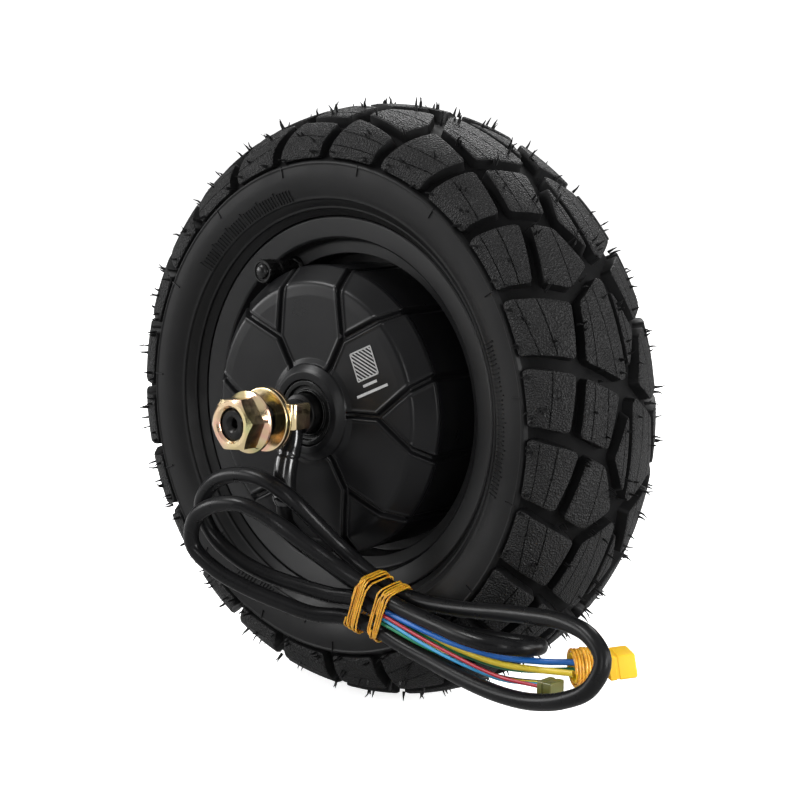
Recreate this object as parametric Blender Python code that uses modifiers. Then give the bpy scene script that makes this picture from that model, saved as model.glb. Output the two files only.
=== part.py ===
"""Direct-drive hub motor wheel of an electric scooter, with its tied motor cable.

The origin is the wheel's centre on the axle. The axle lies along Y, the cable side faces -Y and
+Z is up. Turned parts are described by (radius, height) in millimetres, where height is the
distance from the wheel's centre plane towards the cable side, so a height h lies at y = -h.
"""
import math

import bmesh
import bpy
from mathutils import Matrix, Vector

MM = 0.001
GAP = 0.3                       # clearance that touching pieces keep, mm

# Wheel and rim
TYRE_RADIUS = 115.0             # 9 x 3.0 tyre on a 5.5 inch rim
TYRE_HALF_WIDTH = 35.8
FLANGE_RADIUS = 72.7
BEAD_SEAT_RADIUS = 69.9
WELL_RADIUS = 66.0
RIM_FACE = 26.4                 # height of the rim's flat face
RIM_INNER_RADIUS = 64.6
COVER_SEAT = -20.0              # where the rear cover's flange sits

# Petal face of the hub shell
GROOVE_COUNT = 6
GROOVE_START_ANGLE = 3.5
GROOVE_WIDTH = 3.2
GROOVE_DEPTH = 1.0
JUNCTION_RADIUS = 32.4
BRANCH_ANGLE = 36.0
BOSS_RADIUS = 18.3

# Motor
DRUM_BORE = 51.2
BACK_IRON_INNER = 48.4
MAGNET_INNER = 46.2
STATOR_RADIUS = 45.2
STACK_HALF = 14.0
SLOTS = 27
POLES = 30

# Axle, bearings and hardware
AXLE_END = 85.4
THREAD_RADIUS = 5.9
JOURNAL_RADIUS = 7.5
CORE_RADIUS = 9.5
FLAT_HALF = 5.0
BEARING_RADIUS = 17.5
BEARING_WIDTH = 11.0
BALL_CIRCLE = 12.5
BALL_RADIUS = 2.5
BALLS = 8
NOMINAL_BORE = 6.2
NUT_ACROSS_FLATS = 18.0

# Cable
CABLE_DIAMETER = 6.0
SLEEVE_RADIUS = 4.4
CABLE_BORE = 3.5
PHASE_WIRE = 2.3
SENSOR_WIRE = 1.3
CABLE_STEP = 13.0               # distance between the tube's points

# The rubber band that ties the cable: its centre and the direction of the strands in it
TIE_CENTRE = Vector((37.1, -45.0, -68.4))
TIE_ALONG = Vector((0.943, 0.0, -0.333)).normalized()
TIE_UP = Vector((0.333, 0.0, 0.943)).normalized()
TIE_OUT = Vector((0.0, -1.0, 0.0))

# The yellow plug: the mouth of its tail sleeve and the direction in which it points
PLUG_MOUTH = Vector((122.4, -44.0, -74.7))
PLUG_ALONG = Vector((0.63, 0.75, 0.1)).normalized()

SEGMENTS = 36
AXIS_TURN = (math.pi / 2, 0.0, 0.0)     # turns a part's own Z to the axle's cable side

# Route of the main cable from the strain relief through the tie five times, in mm
CABLE_ROUTE = [
    (0, -57.7, -34.6), (1.5, -57.3, -41), (9, -54, -48.5), (17, -48.3, -56), (25, -43.0, -62.7),
    (37, -41.4, -68.4), (50.5, -40.5, -71.3), (63, -39.2, -72.5), (75, -37.4, -73.3),
    (87, -35.0, -73.4), (98, -34.6, -72.6), (105.5, -38.4, -71.2), (107.6, -45.4, -70.0),
    (104, -52.3, -69.2), (95.5, -56.2, -68.6), (84, -55.9, -68.0), (72, -53.2, -67.3),
    (60, -50.4, -66.6), (48, -48.6, -65.0), (34.5, -49, -60.8), (24, -54, -53.8),
    (16, -62, -45.5), (6.5, -69, -37.5), (-6, -72.5, -32.5), (-20, -73.5, -34),
    (-32, -72.5, -41), (-36, -70, -52.5), (-27, -66.5, -61.3), (-14.5, -62.5, -66.8),
    (-2, -58, -70.8), (11, -53.5, -73.9), (24, -49.5, -73.6), (37.5, -48.2, -75.4),
    (51, -49, -79.0), (65, -51, -81.2), (78.5, -54, -82.8), (92, -56.5, -84.2),
    (106, -59, -84.6), (120, -61.5, -83.2), (133.5, -63.5, -79.5), (145, -64.5, -73),
    (149, -63, -63), (141, -60, -56.3), (127, -56, -55), (110.5, -51.5, -57),
    (97, -48.5, -59), (83.5, -45.8, -61.2), (69.5, -43.6, -63), (55.5, -42, -63.8),
    (42, -41.5, -62.2), (29.5, -42.7, -57), (20.5, -48, -48.5), (15.5, -56.5, -38.5),
    (9, -64, -28.5), (-2.5, -66.5, -23), (-16.5, -66.5, -23), (-29.5, -65.5, -28),
    (-38, -63.5, -38.5), (-34.5, -60, -50.5), (-23.5, -57, -58.5), (-10.5, -54.5, -62.8),
    (3, -52, -64.9), (17, -49.9, -66.2), (30.5, -48.5, -66.0), (43.2, -48.5, -70.2),
]

# Each wire: its place at the cable's cut end (across the tie: outward, up), its route, its end
PHASE_WIRES = {
    "blue": ((0.5, 1.6), [(62, -50.8, -70.9), (78, -51.6, -73.0), (96.5, -49.4, -74.6),
                          (112, -46.0, -73.9)], (121.8, -44.0, -72.6)),
    "yellow": ((-2.5, 0.9), [(62, -48.2, -72.4), (78, -49.2, -75.4), (96, -49.0, -77.2),
                             (111, -47.2, -76.7)], (121.8, -45.9, -75.9)),
    "green": ((-0.6, -0.9), [(62, -47.7, -75.2), (78, -46.9, -77.6), (96, -45.4, -79.2),
                             (111, -43.0, -77.9)], (121.8, -42.0, -75.9)),
}
SENSOR_WIRES = {
    "red": ((2.6, 1.0), [(62, -52.8, -73.0), (78, -53.9, -76.2), (92, -54.8, -78.6),
                         (103, -55.2, -79.8)], (117.6, -55.2, -79.6)),
    "blue": ((1.9, -0.7), [(62, -52.4, -75.0), (78, -53.0, -78.4), (92, -53.4, -80.4),
                           (103, -53.6, -80.9)], (117.6, -53.6, -79.6)),
    "green": ((1.9, -2.5), [(62, -51.2, -76.5), (78, -51.3, -78.9), (92, -51.8, -81.2),
                            (103, -52.0, -81.5)], (117.6, -52.0, -79.6)),
    "yellow": ((0.2, -2.6), [(62, -49.6, -76.4), (78, -49.4, -79.2), (92, -50.0, -81.4),
                             (103, -50.4, -81.5)], (117.6, -50.4, -79.6)),
    "black": ((-1.7, -2.7), [(62, -46.4, -77.2), (78, -46.6, -79.9), (92, -48.3, -81.7),
                             (103, -48.8, -81.5)], (117.6, -48.8, -79.6)),
}

# Colour, metallic and roughness of each finish
FINISHES = {
    "black_paint": ((0.012, 0.012, 0.013), 0.3, 0.42),
    "tyre_rubber": ((0.016, 0.016, 0.017), 0.0, 0.72),
    "cable_pvc": ((0.015, 0.015, 0.016), 0.0, 0.38),
    "zinc_gold": ((0.72, 0.52, 0.20), 1.0, 0.28),
    "black_steel": ((0.05, 0.05, 0.055), 0.9, 0.38),
    "bearing_steel": ((0.60, 0.60, 0.62), 1.0, 0.22),
    "lamination": ((0.32, 0.33, 0.36), 0.9, 0.45),
    "copper": ((0.62, 0.26, 0.10), 0.8, 0.35),
    "magnet": ((0.45, 0.45, 0.47), 0.9, 0.30),
    "cast_aluminium": ((0.42, 0.42, 0.43), 0.8, 0.50),
    "circuit_board": ((0.02, 0.16, 0.06), 0.0, 0.45),
    "amber_rubber": ((0.72, 0.40, 0.07), 0.0, 0.45),
    "yellow_nylon": ((0.86, 0.62, 0.05), 0.0, 0.38),
    "clear_nylon": ((0.42, 0.43, 0.22), 0.0, 0.30),
    "wire_blue": ((0.03, 0.16, 0.50), 0.0, 0.40),
    "wire_yellow": ((0.80, 0.62, 0.05), 0.0, 0.40),
    "wire_green": ((0.03, 0.28, 0.10), 0.0, 0.40),
    "wire_red": ((0.60, 0.03, 0.03), 0.0, 0.40),
    "wire_black": ((0.02, 0.02, 0.02), 0.0, 0.40),
}


def make_collection(name):
    """A collection linked to the scene."""
    collection = bpy.data.collections.new(name)
    bpy.context.scene.collection.children.link(collection)
    return collection


def make_material(name, finish):
    """A Principled material from one line of FINISHES."""
    colour, metallic, roughness = FINISHES[finish]
    material = bpy.data.materials.new(name)
    material.use_nodes = True
    shader = material.node_tree.nodes["Principled BSDF"]
    shader.inputs["Base Color"].default_value = (*colour, 1.0)
    shader.inputs["Metallic"].default_value = metallic
    shader.inputs["Roughness"].default_value = roughness
    return material


def place(obj, finish):
    """Puts an object in the part's collection, or in the cutters' when it has no finish."""
    if finish is None:
        CUTTERS.objects.link(obj)
        obj.hide_render = True
        obj.display_type = 'WIRE'
    else:
        PARTS.objects.link(obj)
        obj.data.materials.append(make_material(obj.name + "_finish", finish))
    return obj


def shade(mesh, angle=35.0):
    """Smooth shading that keeps edges sharper than the angle."""
    mesh.shade_smooth()
    mesh.set_sharp_from_angle(angle=math.radians(angle))


def lathe(name, profile, finish, segments=SEGMENTS, closed=True):
    """A turned part on the axle from (radius, height) points that run down its outer side."""
    mesh = bpy.data.meshes.new(name)
    verts = [(radius * MM, 0.0, height * MM) for radius, height in profile]
    edges = [(i, i + 1) for i in range(len(verts) - 1)]
    if closed:
        edges.append((len(verts) - 1, 0))
    mesh.from_pydata(verts, edges, [])
    obj = place(bpy.data.objects.new(name, mesh), finish)
    obj.rotation_euler = AXIS_TURN
    screw = obj.modifiers.new("turn", 'SCREW')
    screw.axis = 'Z'
    screw.angle = 2 * math.pi
    screw.steps = segments
    screw.render_steps = segments
    screw.use_merge_vertices = True
    screw.merge_threshold = 0.00001
    screw.use_smooth_shade = True
    return obj


def ring(name, inner, outer, low, high, finish, segments=SEGMENTS):
    """A plain turned ring."""
    profile = [(inner, high), (outer, high), (outer, low), (inner, low)]
    return lathe(name, profile, finish, segments)


def box(name, low, high, finish):
    """A box between two corners given in mm."""
    mesh = bpy.data.meshes.new(name)
    shape = bmesh.new()
    bmesh.ops.create_cube(shape, size=1.0)
    size = [(b - a) * MM for a, b in zip(low, high)]
    centre = [(a + b) / 2 * MM for a, b in zip(low, high)]
    bmesh.ops.scale(shape, vec=size, verts=shape.verts)
    bmesh.ops.translate(shape, vec=centre, verts=shape.verts)
    shape.to_mesh(mesh)
    shape.free()
    return place(bpy.data.objects.new(name, mesh), finish)


def rod(name, start, end, radius, finish, segments=20, end_radius=None):
    """A cylinder, or a cone, between two points in mm."""
    start, end = Vector(start) * MM, Vector(end) * MM
    mesh = bpy.data.meshes.new(name)
    shape = bmesh.new()
    last = radius if end_radius is None else end_radius
    bmesh.ops.create_cone(shape, cap_ends=True, segments=segments, radius1=radius * MM,
                          radius2=last * MM, depth=(end - start).length)
    shape.to_mesh(mesh)
    shape.free()
    shade(mesh)
    obj = place(bpy.data.objects.new(name, mesh), finish)
    obj.location = (start + end) / 2
    obj.rotation_euler = (end - start).to_track_quat('Z', 'Y').to_euler()
    return obj


def plate(name, loops, thickness, matrix, finish, as_mesh=False):
    """A flat outline with its holes, extruded to both sides of the matrix's XY plane."""
    curve = bpy.data.curves.new(name, 'CURVE')
    curve.dimensions = '2D'
    curve.fill_mode = 'BOTH'
    curve.extrude = thickness / 2 * MM
    for loop in loops:
        spline = curve.splines.new('POLY')
        spline.points.add(len(loop) - 1)
        for point, (x, y) in zip(spline.points, loop):
            point.co = (x * MM, y * MM, 0.0, 1.0)
        spline.use_cyclic_u = True
    obj = bpy.data.objects.new(name, curve)
    obj.matrix_world = matrix
    if not as_mesh:
        return place(obj, finish)
    PARTS.objects.link(obj)
    return place(to_mesh(obj, name), finish)


def to_mesh(obj, name):
    """Replaces a curve object by a welded mesh object in the same place."""
    bpy.context.view_layer.update()
    graph = bpy.context.evaluated_depsgraph_get()
    mesh = bpy.data.meshes.new_from_object(obj.evaluated_get(graph))
    shape = bmesh.new()
    shape.from_mesh(mesh)
    bmesh.ops.remove_doubles(shape, verts=shape.verts, dist=0.000005)
    bmesh.ops.recalc_face_normals(shape, faces=shape.faces)
    shape.to_mesh(mesh)
    shape.free()
    matrix = obj.matrix_world.copy()
    curve = obj.data
    bpy.data.objects.remove(obj)
    bpy.data.curves.remove(curve)
    solid = bpy.data.objects.new(name, mesh)
    solid.matrix_world = matrix
    return solid


def tube(name, points, radius, finish, resolution=2, radii=None):
    """A round tube with closed ends along points in mm; radii scale it point by point."""
    curve = bpy.data.curves.new(name, 'CURVE')
    curve.dimensions = '3D'
    curve.bevel_depth = radius * MM
    curve.bevel_resolution = resolution
    curve.use_fill_caps = True
    curve.twist_mode = 'MINIMUM'
    spline = curve.splines.new('POLY')
    spline.points.add(len(points) - 1)
    for i, (point, place_mm) in enumerate(zip(spline.points, points)):
        point.co = (*(Vector(place_mm) * MM), 1.0)
        point.radius = 1.0 if radii is None else radii[i] / radius
    return place(bpy.data.objects.new(name, curve), finish)


def smooth_route(route, step):
    """Evenly spaced points on a smooth curve through the route's own points."""
    pts = [Vector(p) for p in route]
    pts = [2 * pts[0] - pts[1]] + pts + [2 * pts[-1] - pts[-2]]
    fine = []
    parts_per_span = 12
    for i in range(1, len(pts) - 2):
        before, start, end, after = pts[i - 1:i + 3]
        for k in range(parts_per_span):
            t = k / parts_per_span
            fine.append(0.5 * (2 * start + (end - before) * t
                               + (2 * before - 5 * start + 4 * end - after) * t ** 2
                               + (3 * start - before - 3 * end + after) * t ** 3))
    fine.append(pts[-2])
    lengths = [0.0]
    for a, b in zip(fine, fine[1:]):
        lengths.append(lengths[-1] + (b - a).length)
    count = max(2, round(lengths[-1] / step))
    result, i = [], 0
    for k in range(count + 1):
        wanted = lengths[-1] * k / count
        while i < len(fine) - 2 and lengths[i + 1] < wanted:
            i += 1
        share = (wanted - lengths[i]) / (lengths[i + 1] - lengths[i])
        result.append(fine[i].lerp(fine[i + 1], min(1.0, share)))
    return result


def combine(target, tool, operation='DIFFERENCE'):
    """Adds an exact Boolean to the target."""
    modifier = target.modifiers.new(tool.name, 'BOOLEAN')
    modifier.operation = operation
    modifier.solver = 'EXACT'
    modifier.object = tool
    return target


def polar(radius, degrees):
    """A point in a plane across the axle."""
    angle = math.radians(degrees)
    return radius * math.cos(angle), radius * math.sin(angle)


def axle_frame(height=0.0):
    """Matrix of a plate that lies across the axle at a height."""
    return Matrix.Translation((0.0, -height * MM, 0.0)) @ Matrix.Rotation(math.pi / 2, 4, 'X')


def arms_outline(centre, arms, width):
    """Outline of straight arms that leave a centre; arms are (degrees, length) in turn order."""
    half = width / 2
    outline = []
    for i, (angle, length) in enumerate(arms):
        ahead, aside = Vector(polar(1.0, angle)), Vector(polar(1.0, angle + 90))
        outline.append(centre + ahead * length - aside * half)
        outline.append(centre + ahead * length + aside * half)
        turn = (arms[(i + 1) % len(arms)][0] - angle) % 360
        middle = Vector(polar(1.0, angle + turn / 2))
        outline.append(centre + middle * (half / math.sin(math.radians(turn / 2))))
    return [tuple(point) for point in outline]


def rounded_rectangle(half_x, half_y, radius, steps=4):
    """Corner points of a rectangle with round corners."""
    outline = []
    for sign_x, sign_y, start in ((1, 1, 0), (-1, 1, 90), (-1, -1, 180), (1, -1, 270)):
        for k in range(steps + 1):
            x, y = polar(radius, start + 90 * k / steps)
            outline.append((sign_x * (half_x - radius) + x, sign_y * (half_y - radius) + y))
    return outline


# Rotor: the shell with its rim, the rear cover, the tyre and the valve

PETAL_FACE = [
    (15.2, 47.0), (16.4, 46.2), (BOSS_RADIUS, 44.6), (19.6, 43.2), (32.0, 42.9), (44.0, 42.6),
    (48.2, 42.2), (50.2, 40.8), (54.6, 35.6), (55.1, 34.8), (54.5, 33.8),
]


def build_hub_shell():
    """Cast drum, petal face and rim in one piece, open towards the rear cover."""
    profile = PETAL_FACE + [
        (54.5, 6.0), (58.5, 6.0), (58.5, 19.0), (63.6, 19.0), (RIM_INNER_RADIUS, RIM_FACE),
        (FLANGE_RADIUS, RIM_FACE), (FLANGE_RADIUS, 24.0), (BEAD_SEAT_RADIUS, 22.6),
        (BEAD_SEAT_RADIUS, 12.5), (WELL_RADIUS, 9.0), (WELL_RADIUS, -9.0),
        (BEAD_SEAT_RADIUS, -12.5), (BEAD_SEAT_RADIUS, -22.6), (FLANGE_RADIUS, -24.0),
        (FLANGE_RADIUS, -RIM_FACE), (RIM_INNER_RADIUS, -RIM_FACE), (62.0, COVER_SEAT),
        (DRUM_BORE, COVER_SEAT), (DRUM_BORE, 16.0), (49.6, 18.0), (49.6, 33.5), (45.0, 38.4),
        (22.0, 38.8), (22.0, 30.0), (17.8, 30.0), (17.8, 41.3), (12.6, 41.3), (12.6, 47.0),
    ]
    shell = lathe("hub_shell", profile, "black_paint")
    combine(shell, build_groove_cutter())
    x, z = valve_place(59.8)
    combine(shell, rod("cut_valve_pocket", (x, 1.5, z), (x, -30, z), 4.9, None))
    outer_x, outer_z = valve_place(69.5)
    combine(shell, rod("cut_valve_hole", (x, -3.5, z), (outer_x, -3.5, outer_z), 3.9, None))
    for i in range(SCREWS):
        x, z = polar(SCREW_CIRCLE, SCREW_START + 360 / SCREWS * i)
        hole = rod(f"cut_shell_screw_{i + 1}", (x, 30, z), (x, 6.5, z), 2.2, None, 12)
        combine(shell, hole)
    return shell


def build_groove_cutter():
    """Six Y-shaped grooves that follow the petal face at one depth."""
    high, low = 60.0, 33.0
    spread = [(180, 17.2), (360 - BRANCH_ANGLE, 34.0), (360 + BRANCH_ANGLE, 34.0)]
    grooves = []
    for i in range(GROOVE_COUNT):
        start = GROOVE_START_ANGLE + 360 / GROOVE_COUNT * i
        centre = Vector(polar(JUNCTION_RADIUS, start))
        arms = [(start + angle, length) for angle, length in spread]
        outline = arms_outline(centre, arms, GROOVE_WIDTH)
        groove = plate(f"cut_groove_{i + 1}", [outline], high - low,
                       axle_frame((high + low) / 2), None, as_mesh=True)
        grooves.append(groove)
    core = [(0.0, 41.9), (44.0, 41.6), (48.0, 41.2), (49.6, 40.0), (53.6, 35.0),
            (53.6, 32.0), (0.0, 32.0)]
    keep = lathe("cut_groove_floor", core, None, closed=False)
    cutter = grooves[0]
    for other in grooves[1:]:
        combine(cutter, other, 'UNION')
    return combine(cutter, keep)


def valve_place(radius):
    """Where the valve stands around the wheel."""
    return polar(radius, VALVE_ANGLE)


VALVE_ANGLE = 122.8
SCREWS = 6
SCREW_CIRCLE = 57.2
SCREW_START = 30.0


def build_rear_cover():
    """Dished cover that closes the drum, with its bearing seat and six screw holes."""
    profile = [
        (12.6, -41.0), (12.6, -36.4), (17.8, -36.4), (17.8, -24.8), (22.0, -24.8),
        (22.0, -33.0), (40.0, -33.0), (46.6, -28.0), (47.6, -18.0), (DRUM_BORE - GAP, -18.0),
        (DRUM_BORE - GAP, COVER_SEAT - GAP), (61.4, COVER_SEAT - GAP), (61.4, -24.2),
        (52.0, -24.6), (49.5, -33.5), (46.0, -37.0), (19.6, -37.6), (BOSS_RADIUS, -38.6),
        (16.6, -40.4), (15.2, -41.0),
    ]
    cover = lathe("rear_cover", profile, "black_paint")
    for i in range(SCREWS):
        x, z = polar(SCREW_CIRCLE, SCREW_START + 360 / SCREWS * i)
        hole = rod(f"cut_cover_screw_{i + 1}", (x, 30, z), (x, 18, z), 2.3, None, 12)
        combine(cover, hole)
    return cover


def build_cover_screws():
    """Six pan head M4 screws."""
    profile = [(0.0, -12.0), (1.9, -12.0), (1.9, -24.9), (3.6, -24.9), (3.6, -26.6),
               (2.8, -27.4), (0.0, -27.4)]
    for i in range(SCREWS):
        screw = lathe(f"cover_screw_{i + 1}", profile, "black_steel", 12, closed=False)
        x, z = polar(SCREW_CIRCLE, SCREW_START + 360 / SCREWS * i)
        screw.location = (x * MM, 0.0, z * MM)


def build_tyre():
    """Tubeless tyre: crown, sidewalls and beads, open towards the rim."""
    side = [(108.4, 27.0), (102.0, 33.0), (93.0, TYRE_HALF_WIDTH), (86.0, 35.3),
            (79.0, 32.6), (74.4, 28.2), (73.2, 26.0), (73.1, 24.1), (70.3, 22.2),
            (70.3, 14.0), (73.0, 14.0), (78.5, 26.5), (90.0, 30.4), (101.0, 28.0),
            (108.5, 19.0)]
    crown = [(113.4, 13.5), (TYRE_RADIUS, 0.0), (113.4, -13.5)]
    lower = [(radius, -height) for radius, height in side[:9]]
    inner_low = [(radius, -height) for radius, height in side[9:]]
    inner_high = list(reversed(side[9:]))
    outer_high = list(reversed(side[:9]))
    profile = inner_high + outer_high + crown + lower + inner_low + [(109.8, 0.0)]
    return lathe("tyre", profile, "tyre_rubber")


def build_valve():
    """Bent valve: through the rim well, then parallel to the axle, with its cap."""
    radial = [valve_place(radius) for radius in (68.6, 66.6, 66.4, 62.8)]
    x, z = valve_place(59.8)
    bend_x, bend_z = valve_place(60.6)
    points = [(radial[0][0], -3.5, radial[0][1]), (radial[1][0], -3.5, radial[1][1]),
              (radial[2][0], -3.5, radial[2][1]), (radial[3][0], -3.5, radial[3][1]),
              (bend_x, -4.6, bend_z), (x, -7.2, z), (x, -20.0, z), (x, -30.4, z)]
    radii = [5.2, 5.2, 3.5, 3.5, 3.5, 3.5, 3.5, 3.2]
    tube("valve_stem", points, 3.5, "tyre_rubber", 3, radii)
    profile = [(0.0, 38.6), (2.6, 38.2), (4.2, 36.8), (4.7, 34.6), (4.7, 30.8), (0.0, 30.8)]
    cap = lathe("valve_cap", profile, "tyre_rubber", 20, closed=False)
    cap.location = (x * MM, 0.0, z * MM)


def build_magnets():
    """Steel back-iron ring and the ring of thirty magnets bonded in it."""
    ring("back_iron", BACK_IRON_INNER, DRUM_BORE - GAP, -16.0, 15.6, "lamination")
    inner = []
    outer = []
    for i in range(POLES):
        middle = 360 / POLES * (i + 0.5)
        half = 180 / POLES - 0.6
        inner += [polar(MAGNET_INNER, middle - half), polar(MAGNET_INNER, middle + half),
                  polar(MAGNET_INNER + 1.4, middle + half + 0.6)]
        outer += [polar(BACK_IRON_INNER - GAP, middle - half - 0.6),
                  polar(BACK_IRON_INNER - GAP, middle)]
    plate("magnet_ring", [outer, inner], 2 * STACK_HALF + 1.0, axle_frame(), "magnet")


# Stator and axle

def build_axle():
    """Turned axle with threaded ends, two flats at each end and the bore for the cable."""
    far = -AXLE_END
    profile = [
        (0.0, AXLE_END), (5.0, AXLE_END), (THREAD_RADIUS, AXLE_END - 1.0), (THREAD_RADIUS, 51.0),
        (JOURNAL_RADIUS, 50.0), (JOURNAL_RADIUS, 29.6), (CORE_RADIUS, 29.6),
        (CORE_RADIUS, -24.6), (JOURNAL_RADIUS, -24.6), (JOURNAL_RADIUS, -45.0),
        (THREAD_RADIUS, -46.0), (THREAD_RADIUS, far + 1.0), (5.0, far), (0.0, far),
    ]
    axle = lathe("axle", profile, "black_steel", 24, closed=False)
    for side, low, high in (("near", 64.0, 90.0), ("far", -90.0, -52.0)):
        for name, x0, x1 in (("left", -10.0, -FLAT_HALF), ("right", FLAT_HALF, 10.0)):
            flat = box(f"cut_flat_{side}_{name}", (x0, -high, -10), (x1, -low, 10), None)
            combine(axle, flat)
    combine(axle, rod("cut_cable_bore", (0, -56, 0), (0, -14, 0), CABLE_BORE, None, 16))
    combine(axle, rod("cut_cable_exit", (0, -53.2, 0), (0, -53.2, -9), CABLE_BORE, None, 16))
    combine(axle, rod("cut_lead_exit", (0, -18.6, 0), (0, -18.6, -12), CABLE_BORE, None, 16))
    combine(axle, rod("cut_centre", (0, -90, 0), (0, -80, 0), 2.4, None, 12, end_radius=0.6))
    return axle


def build_bearing(side, low):
    """Races and the caged balls of one deep-groove ball bearing."""
    middle, high = low + BEARING_WIDTH / 2, low + BEARING_WIDTH
    groove = BALL_RADIUS + 0.35
    rise = 1.9
    inner_top, outer_low = BALL_CIRCLE - rise, BALL_CIRCLE + rise
    half = math.sqrt(groove ** 2 - rise ** 2)
    inner = [(JOURNAL_RADIUS + GAP, high), (inner_top, high), (inner_top, middle + half),
             (BALL_CIRCLE - groove, middle), (inner_top, middle - half), (inner_top, low),
             (JOURNAL_RADIUS + GAP, low)]
    outer = [(outer_low, high), (BEARING_RADIUS, high), (BEARING_RADIUS, low),
             (outer_low, low), (outer_low, middle - half), (BALL_CIRCLE + groove, middle),
             (outer_low, middle + half)]
    lathe(f"bearing_inner_race_{side}", inner, "bearing_steel", 20)
    lathe(f"bearing_outer_race_{side}", outer, "bearing_steel", 20)
    cage = ring(f"bearing_balls_{side}", BALL_CIRCLE - 1.1, BALL_CIRCLE + 1.1,
                middle - 0.7, middle + 0.7, "bearing_steel", 16)
    for i in range(BALLS):
        x, z = polar(BALL_CIRCLE, 360 / BALLS * i)
        mesh = bpy.data.meshes.new(f"cut_ball_{side}_{i + 1}")
        shape = bmesh.new()
        bmesh.ops.create_uvsphere(shape, u_segments=6, v_segments=5, radius=BALL_RADIUS * MM)
        shape.to_mesh(mesh)
        shape.free()
        ball = place(bpy.data.objects.new(mesh.name, mesh), None)
        ball.location = (x * MM, -middle * MM, z * MM)
        combine(cage, ball, 'UNION')


def build_seals():
    """Oil seals in front of the bearings; they turn with the shell and cover."""
    lip = JOURNAL_RADIUS + GAP
    lathe("axle_seal_near", [(lip, 46.2), (9.0, 46.2), (9.6, 46.8), (12.3, 46.8),
                             (12.3, 41.7), (lip, 41.7)], "tyre_rubber", 20)
    lathe("axle_seal_far", [(lip, -36.8), (12.3, -36.8), (12.3, -40.8), (9.6, -40.8),
                            (9.0, -40.2), (lip, -40.2)], "tyre_rubber", 20)


def build_stator():
    """Hub, toothed lamination stack, winding and the Hall sensor board."""
    hub = [(9.8, 12.0), (14.0, 12.0), (15.0, 3.5), (26.0, 3.5), (26.8, 12.0), (30.0, 12.0),
           (30.0, -12.0), (26.8, -12.0), (26.0, -3.5), (15.0, -3.5), (14.0, -12.0),
           (9.8, -12.0)]
    lathe("stator_hub", hub, "cast_aluminium", 24)
    outline = []
    for i in range(SLOTS):
        middle = 360 / SLOTS * i
        root = math.degrees(math.asin(2.0 / 33.5))
        neck = math.degrees(math.asin(2.0 / 42.6))
        tip = math.degrees(math.asin(4.2 / STATOR_RADIUS))
        tooth = [(33.5, -root), (42.6, -neck), (43.6, -tip), (STATOR_RADIUS, -tip),
                 (STATOR_RADIUS, tip), (43.6, tip), (42.6, neck), (33.5, root)]
        outline += [polar(radius, middle + angle) for radius, angle in tooth]
    bore = [polar(30.6, 360 / 27 * i) for i in range(27)]
    plate("stator_core", [outline, bore], 2 * STACK_HALF, axle_frame(), "lamination")
    build_winding()
    arc = [polar(41.0, 55 + 70 / 10 * i) for i in range(11)]
    arc += [polar(31.0, 125 - 70 / 10 * i) for i in range(11)]
    plate("hall_sensor_board", [arc], 1.4, axle_frame(24.6), "circuit_board")


def build_winding():
    """Copper: the end turns at both faces joined by the bars in the slots."""
    winding = ring("stator_winding", 34.0, 42.0, STACK_HALF + 0.5, 21.8, "copper", 27)
    far = ring("cut_end_turns_far", 34.0, 42.0, -21.8, -STACK_HALF - 0.5, None, 27)
    bars = bpy.data.meshes.new("cut_slot_bars")
    shape = bmesh.new()
    for i in range(SLOTS):
        turn = Matrix.Rotation(2 * math.pi / SLOTS * (i + 0.5), 4, 'Z')
        shift = Matrix.Translation((38.2 * MM, 0.0, 0.0))
        scale = Matrix.Diagonal((6.0 * MM, 2.2 * MM, 36.0 * MM, 1.0))
        bmesh.ops.create_cube(shape, size=1.0, matrix=turn @ shift @ scale)
    shape.to_mesh(bars)
    shape.free()
    bar_set = place(bpy.data.objects.new("cut_slot_bars", bars), None)
    bar_set.rotation_euler = AXIS_TURN
    combine(winding, bar_set, 'UNION')
    combine(winding, far, 'UNION')


def build_washers():
    """Flat washers and tab washers; each tab is bent towards the hub."""
    for side, sign in (("near", 1), ("far", -1)):
        low, high = sorted((67.4 * sign, 69.4 * sign))
        ring(f"flat_washer_{side}", NOMINAL_BORE, 11.9, low, high, "zinc_gold", 24)
        low, high = sorted((65.4 * sign, 67.1 * sign))
        washer = ring(f"tab_washer_{side}", NOMINAL_BORE, 11.7, low, high, "zinc_gold", 24)
        y0, y1 = sorted((-65.4 * sign, -67.1 * sign))
        combine(washer, box(f"cut_tab_root_{side}", (9.6, y0, -3.0), (12.7, y1, 6.6), None),
                'UNION')
        y0, y1 = sorted((-57.8 * sign, -67.1 * sign))
        combine(washer, box(f"cut_tab_{side}", (11.1, y0, -3.0), (12.7, y1, 6.6), None),
                'UNION')


def build_nuts():
    """M12 flange nuts, six-sided with a corner on the X axis."""
    for side, base, sign in (("near", 76.2, 1), ("far", 69.7, -1)):
        low, high = sorted((base * sign, (base + 2.3) * sign))
        flange = [(0.0, high), (11.6, high), (11.6, low), (0.0, low)]
        nut = lathe(f"flange_nut_{side}", flange, "zinc_gold", 24, closed=False)
        start, end = base + 0.6, base + 10.3
        corner = NUT_ACROSS_FLATS / math.sqrt(3)
        hexagon = rod(f"cut_hexagon_{side}", (0, -start * sign, 0), (0, -end * sign, 0),
                      corner, None, 6)
        bore = rod(f"cut_nut_bore_{side}", (0, -(base - 2) * sign, 0),
                   (0, -(end + 2) * sign, 0), NOMINAL_BORE, None, 24)
        hexagon.rotation_euler = (math.pi / 2, 0.0, 0.0)
        combine(nut, hexagon, 'UNION')
        combine(nut, bore)


# Cable, ties and plugs

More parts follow.
